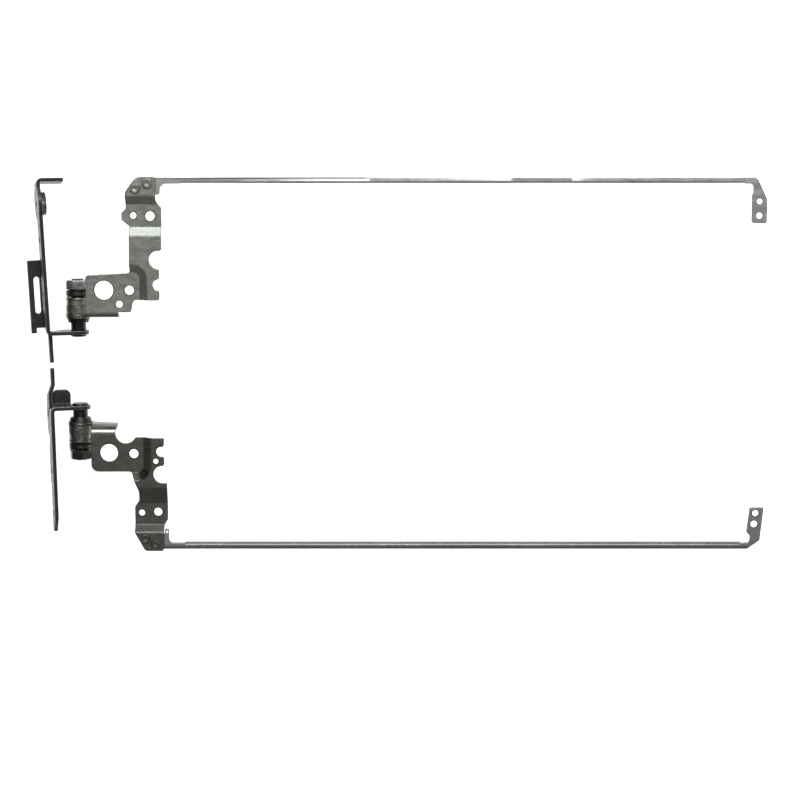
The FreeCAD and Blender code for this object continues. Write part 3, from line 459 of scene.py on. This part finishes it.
def slope_group():
    """Faces that lean along the pin: a mask that is full where the true normal's share along it is near the
    centre, and gone a width away."""
    group, given, result = new_group(
        "Leaning faces",
        [("Centre", "NodeSocketFloat", 0.6), ("Width", "NodeSocketFloat", 0.1),
         ("Way", "NodeSocketFloat", 1.0)],
        [("Mask", "NodeSocketFloat")])
    normal = add_node(group, "ShaderNodeNewGeometry").outputs["True Normal"]
    lean = calculate(group, "MULTIPLY", coordinates(group, normal)["Y"], given.outputs["Way"])
    past = calculate(group, "SUBTRACT", lean, given.outputs["Centre"])
    offset = add_node(group, "ShaderNodeMath", {0: past}, operation="ABSOLUTE").outputs[0]
    near = calculate(group, "MULTIPLY", given.outputs["Width"], 0.5)
    mask = remap(group, offset, near, given.outputs["Width"], 1.0, 0.0)
    group.links.new(mask, result.inputs["Mask"])
    return group


GROUP_MAKERS = {"Rounded edge": edge_group, "Metal grain": grain_group, "Cloudy patches": patch_group,
                "Leaning faces": slope_group}


def placed_group(tree, name, inputs):
    """Outputs of a shared effect, placed in a material with its own values and built when first asked for."""
    made = add_node(tree, "ShaderNodeGroup", node_tree=bpy.data.node_groups.get(name) or GROUP_MAKERS[name]())
    set_inputs(tree, made, inputs)
    return made.outputs


def painted_light_on_slopes(centre, width, way, amount):
    """Mask of painted light on leaning faces, for painted shade and for painted highlights, as a function that a
    material calls.
    """
    def mask(tree, place):
        slope = placed_group(tree, "Leaning faces", {"Centre": centre, "Width": width, "Way": way})["Mask"]
        return calculate(tree, "MULTIPLY", slope, amount)
    return mask


# Materials

def new_material(name):
    """Empty node material; returns it, its tree, its Principled shader and its Object coordinates."""
    material = bpy.data.materials.new(name)
    material.use_nodes = True
    tree = material.node_tree
    tree.nodes.clear()
    shader = add_node(tree, "ShaderNodeBsdfPrincipled")
    add_node(tree, "ShaderNodeOutputMaterial", {"Surface": shader.outputs[0]})
    place = add_node(tree, "ShaderNodeTexCoord").outputs["Object"]
    return material, tree, shader, place


def scaled(colour, factor):
    """Colour with each part multiplied, kept below white."""
    return tuple(min(1.0, part * factor) for part in colour)


def metal_material(name, colour, stain, edge, roughness, edge_width, edge_amount=0.3, stretch=(1.0, 1.0, 1.0),
                   grain_scale=3000.0, patch_scale=260.0, stain_amount=0.4, mottle_amount=0.35, bump=0.2,
                   painted_shade=None, painted_highlight=None, waves=None):
    """Plated, drawn or turned metal: streaks, cloudy patches, mottle, specks, and an edge of another colour.

    The last three arguments give the mask of painted shade, the mask of a painted highlight, and the height of
    an uneven flat; each is a function of the tree and the place."""
    material, tree, shader, place = new_material(name)
    streak_place = add_node(tree, "ShaderNodeMapping", {"Vector": place, "Scale": stretch}).outputs[0]
    grain = placed_group(tree, "Metal grain", {"Vector": streak_place, "Scale": grain_scale})
    clouds = placed_group(tree, "Cloudy patches", {"Vector": place, "Scale": patch_scale})
    edges = placed_group(tree, "Rounded edge", {"Width": edge_width, "Amount": edge_amount})
    tone = blend_colours(tree, grain["Streaks"], *(scaled(colour, factor) for factor in STREAK_TONES))
    tone = lay_over(tree, tone, clouds["Mottle"], mottle_amount, scaled(colour, MOTTLE_TONE))
    tone = lay_over(tree, tone, clouds["Patches"], stain_amount, stain)
    tone = lay_over(tree, tone, clouds["Specks"], SPECK_SHARE, scaled(colour, SPECK_TONE))
    # Painted highlight: the tone is lightened past the metal's own colour where the mask says
    if painted_highlight:
        tone = blend_colours(tree, painted_highlight(tree, place), tone, scaled(colour, PAINTED_HIGHLIGHT_TONE))
    tone = blend_colours(tree, edges["Mask"], tone, edge)
    # Painted shade: the tone is darkened to a small share of the metal's colour where the mask says
    if painted_shade:
        tone = blend_colours(tree, painted_shade(tree, place), tone, scaled(colour, PAINTED_SHADE_TONE))
    streaked = remap(tree, grain["Streaks"], 0.0, 1.0, roughness - STREAK_ROUGHNESS,
                     roughness + STREAK_ROUGHNESS)
    patchy = calculate(tree, "MULTIPLY", clouds["Patches"], PATCH_ROUGHNESS)
    normal = edges["Normal"]
    if waves:
        normal = bump_normal(tree, waves(tree, place), 1.0, 1.0, normal)
    set_inputs(tree, shader, {"Base Color": tone, "Roughness": calculate(tree, "ADD", streaked, patchy),
                              "Metallic": 1.0,
                              "Normal": bump_normal(tree, grain["Height"], bump, GRAIN_DEPTH, normal)})
    return material


def coated_material(name, coat, worn, roughness, wear_width, wear_amount=0.85):
    """Black coat with a faint orange peel, dusty patches, and steel rubbed bare along its edges."""
    material, tree, shader, place = new_material(name)
    clouds = placed_group(tree, "Cloudy patches", {"Vector": place, "Scale": COAT_CLOUDS})
    edges = placed_group(tree, "Rounded edge", {"Width": wear_width, "Amount": wear_amount})
    dusty = tuple(part * DUST_TONE + DUST_LIFT for part in coat)
    tone = lay_over(tree, coat, clouds["Patches"], DUST_SHARE, dusty)
    tone = lay_over(tree, tone, clouds["Mottle"], COAT_MOTTLE_SHARE, scaled(coat, COAT_MOTTLE_TONE))
    specks = calculate(tree, "MULTIPLY", clouds["Specks"], BARE_SPECK_SHARE)
    bare = calculate(tree, "MAXIMUM", edges["Mask"], specks)
    rough = remap(tree, clouds["Mottle"], 0.0, 1.0, roughness - COAT_SMOOTHER, roughness + COAT_ROUGHER)
    peel = noise(tree, place, PEEL_SCALE, detail=2.0, roughness=0.5)
    set_inputs(tree, shader, {"Base Color": blend_colours(tree, bare, tone, worn), "Roughness": rough,
                              "Metallic": bare,
                              "Normal": bump_normal(tree, peel, PEEL_STRENGTH, PEEL_DEPTH, edges["Normal"])})
    return material


def grease_material(name, colour):
    """Thin dirty grease: brown, glossy, with cloudy thickness and fine lumps."""
    material, tree, shader, place = new_material(name)
    clouds = placed_group(tree, "Cloudy patches", {"Vector": place, "Scale": GREASE_CLOUDS})
    tone = blend_colours(tree, clouds["Patches"], *(scaled(colour, factor) for factor in GREASE_TONES))
    rough = remap(tree, clouds["Mottle"], 0.0, 1.0, *GREASE_ROUGHNESS)
    set_inputs(tree, shader, {"Base Color": tone, "Roughness": rough, "Coat Weight": clouds["Patches"],
                              "Normal": bump_normal(tree, clouds["Mottle"], LUMP_STRENGTH, LUMP_DEPTH)})
    return material


def finish_nodes(nodes, material):
    """Gives CAD nodes their material through their objects' slots."""
    for name in nodes:
        target = frame["nodes"][name]
        if not target.material_slots:
            raise RuntimeError(f"{name} has no material slot")
        for slot in target.material_slots:
            slot.link = "OBJECT"
            slot.material = material


# Surfaces worked out on grids

def grid_mesh(name, points):
    """Mesh of closed quad grids, an array of grids by rows by columns; both directions close on themselves.

    The faces are turned round where the volume that they enclose would come out negative."""
    grids, rows, columns = points.shape[:3]
    grid, row, column = np.meshgrid(np.arange(grids), np.arange(rows), np.arange(columns), indexing="ij")

    def number(r, c):
        return (grid * rows + r % rows) * columns + c % columns

    faces = np.stack([number(row, column), number(row + 1, column), number(row + 1, column + 1),
                      number(row, column + 1)], axis=-1).reshape(-1, 4)
    flat = points.reshape(-1, 3)
    corner = (flat - flat.mean(axis=0))[faces]
    volume = np.einsum("ij,ij->", corner[:, 0], np.cross(corner[:, 1], corner[:, 2]))
    volume += np.einsum("ij,ij->", corner[:, 0], np.cross(corner[:, 2], corner[:, 3]))
    if volume < 0:
        faces = faces[:, ::-1]
    mesh = bpy.data.meshes.new(name)
    mesh.from_pydata(flat.tolist(), [], faces.tolist())
    mesh.polygons.foreach_set("use_smooth", np.ones(len(mesh.polygons), dtype=bool))
    return mesh


def turns(count):
    """Evenly spaced angles of a full turn."""
    return np.arange(count) * (2 * math.pi / count)


def lip_points(circles, reach, height, steps=56, profile_steps=12):
    """Flattened rings on a flat face: each point is its circle's centre, plus the radius and a share of reach
    outwards, plus a share of height upwards; the shares are the cosine and sine of the section's angle."""
    u = turns(steps)[None, :, None]
    v = turns(profile_steps)[None, None, :]
    x, y, z, radius = (circles[:, index][:, None, None] for index in range(4))
    out = radius + reach * np.cos(v)
    return np.stack([x + out * np.cos(u), y + out * np.sin(u), z + height * np.sin(v) + 0 * u], axis=-1)


def bead_points(axis, places, radius, thickness, steps=96, profile_steps=10):
    """Uneven rings round the pin: a round section whose thickness swells and shrinks with the product of two
    sines of the angle round the pin, shifted from ring to ring."""
    u = turns(steps)[None, :, None]
    v = turns(profile_steps)[None, None, :]
    y = np.array(places)[:, None, None]
    order = np.arange(len(places))[:, None, None]
    slow, fast = BEAD_WAVES
    swell = np.sin(slow * u + 2 * order) * np.sin(fast * u + order)
    section = thickness * (BEAD_MEAN + BEAD_SWELL * swell)
    out = radius + section * np.cos(v)
    return np.stack([axis.x + out * np.cos(u), y + section * np.sin(v), axis.z + out * np.sin(u)], axis=-1)


def knurl_points(centre, axis, radius, half_length, depth, count, profile_steps=14):
    """Knurled band: round the axis the radius rises by depth times half of one plus the product of two
    opposite slanting cosines, and the band closes on itself just below the round face that carries it."""
    u = turns(count * KNURL_STEPS)[None, :, None]
    t = np.linspace(-1.0, 1.0, profile_steps)[None, None, :]
    slant = math.pi * t
    rise = 0.5 + 0.5 * np.cos(count * u + slant) * np.cos(count * u - slant)
    out = np.concatenate([radius + depth * rise, np.full(rise.shape[:2] + (2,), radius - depth)], axis=2)
    along = half_length * np.concatenate([t, [[[1.0, -1.0]]]], axis=2) + 0 * u
    side = np.array(axis.orthogonal().normalized())
    up = np.array(axis.cross(axis.orthogonal()).normalized())
    return (np.array(centre) + along[..., None] * np.array(axis)
            + (out * np.cos(u))[..., None] * side + (out * np.sin(u))[..., None] * up)


def node_points(name):
    """Points of a CAD node, each once."""
    mesh = frame["nodes"][name].data
    points = np.zeros(len(mesh.vertices) * 3)
    mesh.vertices.foreach_get("co", points)
    return np.unique(np.round(points.reshape(-1, 3), POINT_DECIMALS), axis=0)


def add_piece(name, points, material, body):
    """Piece made from closed grids: gets its material and rides on a body."""
    piece = bpy.data.objects.new(name, grid_mesh(name, points))
    bpy.context.scene.collection.objects.link(piece)
    piece.data.materials.append(material)
    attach(piece, body)


def place_on(side, x, y, z):
    """Point of the shared frame from millimetres of a hinge's own frame and a level."""
    axis = AXIS[side]
    return axis.x + x * MILLIMETRE, axis.y + ALONG[side] * y * MILLIMETRE, z


def add_hole_lips(name, side, holes, colour, settings):
    """Lips round the punched holes of one piece, duller than its sheet."""
    circles = [place_on(side, x, y, LEVELS[level]) + (diameter / 2 * MILLIMETRE + settings.lip_reach / 2,)
               for x, y, diameter, level in holes]
    dull = metal_material(
        f"{name}_steel", scaled(colour, LIP_TONE), stain=scaled(colour, LIP_STAIN_TONE),
        edge=tuple(settings.sheared_edge), roughness=0.4, edge_width=settings.edge_width, patch_scale=700.0)
    points = lip_points(np.array(circles), settings.lip_reach, settings.lip_height)
    add_piece(name, points, dull, "lid_side")


# Films, burnish and waves, as functions that a material calls with its tree and the place

def right_lid_painted_shade(settings):
    """Painted shade on the right ear and its bend, on the sheet beside them, and on the bends of the bright
    slopes.
    """
    ear = AXIS["right"].y
    ear_painted_shade = painted_light_on_slopes(*LID_PAINTED_SHADE["right"], settings.painted_shade)
    bend_painted_shade = painted_light_on_slopes(*BEND_PAINTED_SHADE["right"])

    def mask(tree, place):
        y = coordinates(tree, place)["Y"]
        band = remap(tree, y, ear + settings.ear_band / 2, ear + settings.ear_band, EAR_SHADE_SHARE, 0.0)
        whole_ear = calculate(tree, "MAXIMUM", band, ear_painted_shade(tree, place))
        return calculate(tree, "MAXIMUM", whole_ear, bend_painted_shade(tree, place))
    return mask


def beside_left_ear(tree, place):
    """Mask of the left ear and its bend."""
    ear = AXIS["left"].y
    y = coordinates(tree, place)["Y"]
    return remap(tree, y, ear - LEFT_EAR_REACH, ear - LEFT_EAR_WHOLE * LEFT_EAR_REACH)


def left_lid_painted_shade(settings):
    """Painted shade on the left bracket's slopes, and on their bends but not the ear's."""
    slope = painted_light_on_slopes(*LID_PAINTED_SHADE["left"], settings.painted_shade)
    bend = painted_light_on_slopes(*BEND_PAINTED_SHADE["left"])

    def mask(tree, place):
        away = calculate(tree, "SUBTRACT", 1.0, beside_left_ear(tree, place))
        bends = calculate(tree, "MULTIPLY", bend(tree, place), away)
        return calculate(tree, "MAXIMUM", slope(tree, place), bends)
    return mask


def left_painted_highlight(tree, place):
    """Painted highlight on the bend of the left ear."""
    bends = painted_light_on_slopes(*PAINTED_HIGHLIGHTS["left"])(tree, place)
    return calculate(tree, "MULTIPLY", bends, beside_left_ear(tree, place))


def right_rail_painted_shade(tree, place):
    """Painted shade: a dark line along the outer edge of the right rail, up to the end of its polished stretch."""
    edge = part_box("right_rail")[1].y
    x, y = coordinates(tree, place)[:2]
    line = remap(tree, y, edge - DARK_LINE_START, edge - DARK_LINE_FULL, 0.0, DARK_LINE_SHARE)
    grown = calculate(tree, "MULTIPLY", line, remap(tree, x, *DARK_LINE_GROWS, DARK_LINE_BEFORE, 1.0))
    return calculate(tree, "MULTIPLY", grown, remap(tree, x, *DARK_LINE_STOPS, 1.0, DARK_LINE_AFTER))


def left_rail_painted_shade(tree, place):
    """Painted shade on the left rail's bend, and on its flat, where it darkens towards the outer edge."""
    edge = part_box("left_rail")[0].y
    y = coordinates(tree, place)["Y"]
    flat = remap(tree, y, edge, edge + RAIL_SHADE_REACH, RAIL_EDGE_SHARE, 0.0)
    return calculate(tree, "MAXIMUM", flat, painted_light_on_slopes(*RAIL_PAINTED_SHADE, RAIL_BEND_SHARE)(tree, place))


def right_rail_waves(settings):
    """Height of the right rail's wavy flat: distance from its outer edge, times the slope at that x."""
    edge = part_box("right_rail")[1].y

    def height(tree, place):
        x, y = coordinates(tree, place)[:2]
        lean = 0.0
        for start, end, change in RAIL_WAVES:
            lean = calculate(tree, "ADD", lean, remap(tree, x, start, end, 0.0, change))
        slope = calculate(tree, "MULTIPLY", lean, math.tan(settings.rail_lean))
        return calculate(tree, "MULTIPLY", calculate(tree, "SUBTRACT", edge, y), slope)
    return height


# Operators

class HINGES_OT_lid_brackets(bpy.types.Operator):
    """Plates the two stepped lid brackets and rolls the lips of their punched holes"""

    bl_idname = "hinges.lid_brackets"
    bl_label = "Lid brackets"

    def execute(self, context):
        settings = context.scene.hinge_sheet
        painted_shades = {"right": right_lid_painted_shade(settings), "left": left_lid_painted_shade(settings)}
        painted_highlights = {"right": painted_light_on_slopes(*PAINTED_HIGHLIGHTS["right"]), "left": left_painted_highlight}
        for side in SIDES:
            colour = side_colour(settings, side, "lid")
            material = metal_material(
                f"{side}_lid_plating", colour, stain=scaled(colour, STAIN_TONES["lid"]),
                edge=tuple(settings.sheared_edge), roughness=settings.lid_roughness,
                edge_width=settings.edge_width, edge_amount=0.85, stretch=ROLLED, grain_scale=3200.0,
                patch_scale=110.0, mottle_amount=0.14, bump=0.16, painted_shade=painted_shades[side], painted_highlight=painted_highlights[side])
            finish_nodes([f"{side}_lid_bracket"], material)
            holes = [hole for hole in PUNCHED_HOLES[side] if hole[3] != "rail"]
            add_hole_lips(f"{side}_lid_hole_lips", side, holes, colour, settings)
        return {"FINISHED"}


class HINGES_OT_rivets(bpy.types.Operator):
    """Finishes the rail rivets and adds the ring that the riveting tool leaves on each head"""

    bl_idname = "hinges.rivets"
    bl_label = "Rivets"

    def execute(self, context):
        settings = context.scene.hinge_sheet
        for side in SIDES:
            colour = scaled(side_colour(settings, side, "lid"), RIVET_TONE)
            material = metal_material(
                f"{side}_rivet_steel", colour, stain=scaled(colour, STAIN_TONES["rivet"]),
                edge=tuple(settings.sheared_edge), roughness=0.54, edge_width=settings.edge_width,
                edge_amount=0.6, grain_scale=2600.0, patch_scale=420.0)
            finish_nodes([f"{side}_rail_rivets"], material)
            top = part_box(f"{side}_rail_rivets")[1].z
            circles = [place_on(side, x, y, top) + (settings.rivet_ring,) for x, y in RIVETS[side]]
            rings = lip_points(np.array(circles), settings.rivet_ring_reach, settings.rivet_ring_height)
            add_piece(f"{side}_rivet_rings", rings, material, "lid_side")
        return {"FINISHED"}


class HINGES_OT_rails(bpy.types.Operator):
    """Finishes the two long rails as drawn steel strip and rolls the lips of the holes in their feet"""

    bl_idname = "hinges.rails"
    bl_label = "Rails"

    def execute(self, context):
        settings = context.scene.hinge_sheet
        painted_shades = {"right": right_rail_painted_shade, "left": left_rail_painted_shade}
        waves = {"right": right_rail_waves(settings), "left": None}
        for side in SIDES:
            colour = side_colour(settings, side, "rail")
            material = metal_material(
                f"{side}_rail_steel", colour, stain=scaled(colour, STAIN_TONES["rail"]),
                edge=tuple(settings.sheared_edge), roughness=settings.rail_roughness,
                edge_width=settings.edge_width, edge_amount=0.3, stretch=DRAWN, grain_scale=2200.0,
                patch_scale=90.0, mottle_amount=0.4, bump=0.12, painted_shade=painted_shades[side], waves=waves[side])
            finish_nodes([f"{side}_rail"], material)
            holes = [hole for hole in PUNCHED_HOLES[side] if hole[3] == "rail"]
            add_hole_lips(f"{side}_foot_hole_lips", side, holes, colour, settings)
        return {"FINISHED"}


class HINGES_OT_base_brackets(bpy.types.Operator):
    """Coats the two base brackets and the clinch nut black, rubs their edges and knurls the nut"""

    bl_idname = "hinges.base_brackets"
    bl_label = "Base brackets"

    def execute(self, context):
        settings = context.scene.hinge_base
        coat = tuple(settings.coat)
        worn = tuple(settings.worn)
        material = coated_material("base_black_coat", coat, worn, settings.roughness, settings.wear_width)
        finish_nodes([f"{side}_base_bracket" for side in SIDES] + ["right_clinch_nut"], material)
        rubbed = metal_material(
            "rubbed_knurl", worn, stain=coat, edge=coat, roughness=0.42, edge_width=settings.wear_width,
            patch_scale=600.0, stain_amount=0.9, mottle_amount=0.8)
        add_piece("right_clinch_knurl", clinch_knurl(settings), rubbed, "right_base")
        return {"FINISHED"}


def clinch_knurl(settings):
    """Knurl round the clinch nut's head; the head's rim gives its middle, radius and length."""
    screw = next(mount for mount in frame["record"]["mounts"] if mount["name"] == "right_base_screw_near")
    axis = Vector(screw["axis"]).normalized()
    points = node_points("right_clinch_nut")
    low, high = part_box("right_clinch_nut")
    across = points - np.array((low + high) / 2)
    across -= (across @ np.array(axis))[:, None] * np.array(axis)
    reach = np.linalg.norm(across, axis=1)
    rim = points[reach > RIM_SHARE * reach.max()]
    centre = rim.mean(axis=0)
    along = (rim - centre) @ np.array(axis)
    spread = rim - centre - along[:, None] * np.array(axis)
    radius = np.linalg.norm(spread, axis=1).mean()
    half_length = KNURL_LENGTH_SHARE * along.max()
    return knurl_points(centre, axis, radius, half_length, settings.knurl_depth, settings.knurl_count)


class HINGES_OT_barrels(bpy.types.Operator):
    """Finishes the pins, rings, washers, springs and nuts, and squeezes a little grease out of their seams"""

    bl_idname = "hinges.barrels"
    bl_label = "Barrels"

    def execute(self, context):
        settings = context.scene.hinge_barrel
        bare = tuple(context.scene.hinge_sheet.bare_edge)
        edge_width = context.scene.hinge_sheet.edge_width
        grease = tuple(settings.grease)
        pin = metal_material(
            "pin_steel", tuple(settings.pin), stain=grease, edge=bare, roughness=0.34, edge_width=edge_width,
            edge_amount=0.15, stretch=TURNED, grain_scale=4200.0)
        spring = coated_material(
            "spring_black", tuple(settings.spring), tuple(settings.left_nut), roughness=0.40,
            wear_width=settings.spring_wear, wear_amount=0.4)
        for side in SIDES:
            ring = metal_material(
                f"{side}_ring_steel", side_colour(settings, side, "ring"), stain=grease,
                edge=scaled(grease, SEAM_TONE), roughness=0.38, edge_width=settings.seam_width,
                edge_amount=1.0, stretch=TURNED, grain_scale=4200.0, patch_scale=620.0, stain_amount=0.6,
                bump=0.25)
            nut = metal_material(
                f"{side}_nut_plating", side_colour(settings, side, "nut"), stain=grease, edge=bare,
                roughness=0.36, edge_width=edge_width, edge_amount=0.25, grain_scale=2400.0,
                patch_scale=420.0, stain_amount=0.6, mottle_amount=0.7)
            stack = [f"{side}_{piece}" for piece in STACK]
            finish_nodes([f"{side}_hinge_pin"], pin)
            finish_nodes(stack, ring)
            finish_nodes([f"{side}_spring_washers"], spring)
            finish_nodes([f"{side}_lock_nut"], nut)
            self.squeeze_grease(side, stack[1:], settings)
        return {"FINISHED"}

    def squeeze_grease(self, side, rings, settings):
        """Beads in the seams at the nut's end of each ring, and in the grooves round the springs."""
        end = 1 if side == "right" else 0
        places = [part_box(ring)[end].y for ring in rings]
        low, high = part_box(f"{side}_friction_disc")
        material = grease_material(f"{side}_grease", tuple(settings.grease))
        beads = bead_points(AXIS[side], places, (high.x - low.x) / 2, settings.bead)
        add_piece(f"{side}_grease_beads", beads, material, f"{side}_base")
        low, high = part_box(f"{side}_spring_washers")
        radius = (high.x - low.x) / 2 - settings.groove_bead / 2
        grooves = bead_points(AXIS[side], (low.y, (low.y + high.y) / 2, high.y), radius, settings.groove_bead)
        add_piece(f"{side}_groove_grease", grooves, material, f"{side}_base")


def lowest_swing():
    """Lowest level that the base brackets reach: the pin axis, less their farthest point from it."""
    levels = []
    for side in SIDES:
        points = node_points(f"{side}_base_bracket")
        reach = np.hypot(points[:, 0] - AXIS[side].x, points[:, 2] - AXIS[side].z)
        levels.append(AXIS[side].z - reach.max())
    return min(levels)


def floor_mesh(reach, level):
    """Grid of four points, reach away from the middle each way, all at one level."""
    u, v = np.meshgrid(np.array([-1.0, 1.0]) * reach, np.array([-1.0, 1.0]) * reach)
    points = np.stack([u, v, np.full_like(u, level)], axis=-1).reshape(-1, 3)
    mesh = bpy.data.meshes.new("floor")
    mesh.from_pydata(points.tolist(), [], [(0, 1, 3, 2)])
    return mesh


def area_light(name, place, aim, size, brightness):
    """Soft box that looks at a point; its power is brightness times pi times its area."""
    light = bpy.data.lights.new(name, "AREA")
    light.shape = "RECTANGLE"
    light.size, light.size_y = size
    light.energy = brightness * math.pi * size[0] * size[1]
    lamp = bpy.data.objects.new(name, light)
    direction = aim - place
    lamp.matrix_world = Matrix.Translation(place) @ direction.to_track_quat("-Z", "Y").to_matrix().to_4x4()
    lamp.visible_camera = False
    bpy.context.scene.collection.objects.link(lamp)


def room_light(strength):
    """Even grey room; the camera sees it as a white backdrop."""
    world = bpy.data.worlds.new("room")
    world.use_nodes = True
    tree = world.node_tree
    seen = add_node(tree, "ShaderNodeLightPath").outputs["Is Camera Ray"]
    share = remap(tree, seen, 0.0, 1.0, strength, 1.0)
    set_inputs(tree, tree.nodes["Background"], {"Color": WHITE, "Strength": share})
    return world


class HINGES_OT_stage(bpy.types.Operator):
    """Lays the pale floor, sets the soft light and aims the camera"""

    bl_idname = "hinges.stage"
    bl_label = "Stage"

    def execute(self, context):
        settings = context.scene.hinge_stage
        self.lay_floor(context, settings)
        context.scene.world = room_light(settings.world)
        aim = Vector(settings.aim)
        for name, (place, size) in SOFT_BOXES.items():
            area_light(name, aim + Vector(place), aim, size, getattr(settings, name))
        self.aim_camera(context, settings, aim)
        context.scene.view_settings.view_transform = "Standard"
        return {"FINISHED"}

    def lay_floor(self, context, settings):
        """Floor just below the lowest point that the base brackets reach, so that it never hides them."""
        floor = bpy.data.objects.new("floor", floor_mesh(FLOOR_REACH, lowest_swing() - FLOOR_GAP))
        context.scene.collection.objects.link(floor)
        material, tree, shader = new_material("pale_floor")[:3]
        set_inputs(tree, shader, {"Base Color": tuple(settings.floor), "Roughness": FLOOR_ROUGHNESS,
                                  "Specular IOR Level": FLOOR_SPECULAR, "Emission Color": WHITE,
                                  "Emission Strength": settings.glow})
        floor.data.materials.append(material)

    def aim_camera(self, context, settings, aim):
        """Camera above the aimed point, leaning back towards the right hinge, which is up in the picture."""
        camera = bpy.data.cameras.new("camera")
        camera.sensor_width = SENSOR_WIDTH
        camera.lens = SENSOR_WIDTH / 2 / settings.camera_half_view
        camera.clip_start = SEEN_FROM
        camera.clip_end = SEEN_TO
        eye = bpy.data.objects.new("camera", camera)
        back = Vector((0.0, math.sin(settings.camera_tilt), math.cos(settings.camera_tilt)))
        up = Vector((0.0, math.cos(settings.camera_tilt), -math.sin(settings.camera_tilt)))
        turn = Matrix((up.cross(back), up, back)).transposed().to_4x4()
        eye.matrix_world = Matrix.Translation(aim + back * settings.camera_distance) @ turn
        context.scene.collection.objects.link(eye)
        context.scene.camera = eye


class HINGES_PT_sidebar(bpy.types.Panel):
    """Settings and steps of the hinge pair"""

    bl_idname = "HINGES_PT_sidebar"
    bl_label = "Laptop hinge pair"
    bl_space_type = "VIEW_3D"
    bl_region_type = "UI"
    bl_category = "Hinges"

    def draw(self, context):
        for group, steps in PANEL_ROWS:
            box = self.layout.box()
            settings = getattr(context.scene, group)
            for name in settings.bl_rna.properties.keys():
                if name not in ("rna_type", "name"):
                    box.prop(settings, name)
            for step in steps:
                box.operator(step.bl_idname)


GROUPS = {"hinge_sheet": SheetSettings, "hinge_base": BaseSettings, "hinge_barrel": BarrelSettings,
          "hinge_stage": StageSettings}
PANEL_ROWS = (("hinge_sheet", (HINGES_OT_lid_brackets, HINGES_OT_rivets, HINGES_OT_rails)),
              ("hinge_base", (HINGES_OT_base_brackets,)),
              ("hinge_barrel", (HINGES_OT_barrels,)),
              ("hinge_stage", (HINGES_OT_stage,)))
CLASSES = (*GROUPS.values(), *(step for group, steps in PANEL_ROWS for step in steps), HINGES_PT_sidebar)


def register():
    """Registers the classes and gives the scene their settings."""
    for each in CLASSES:
        bpy.utils.register_class(each)
    for name, group in GROUPS.items():
        setattr(bpy.types.Scene, name, PointerProperty(type=group))


def unregister():
    """Takes the settings off the scene and unregisters the classes."""
    for name in GROUPS:
        delattr(bpy.types.Scene, name)
    for each in reversed(CLASSES):
        bpy.utils.unregister_class(each)


def main():
    """Registers the add-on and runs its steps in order."""
    register()
    bpy.ops.hinges.lid_brackets()
    bpy.ops.hinges.rivets()
    bpy.ops.hinges.rails()
    bpy.ops.hinges.base_brackets()
    bpy.ops.hinges.barrels()
    bpy.ops.hinges.stage()


if __name__ == "__main__":
    main()
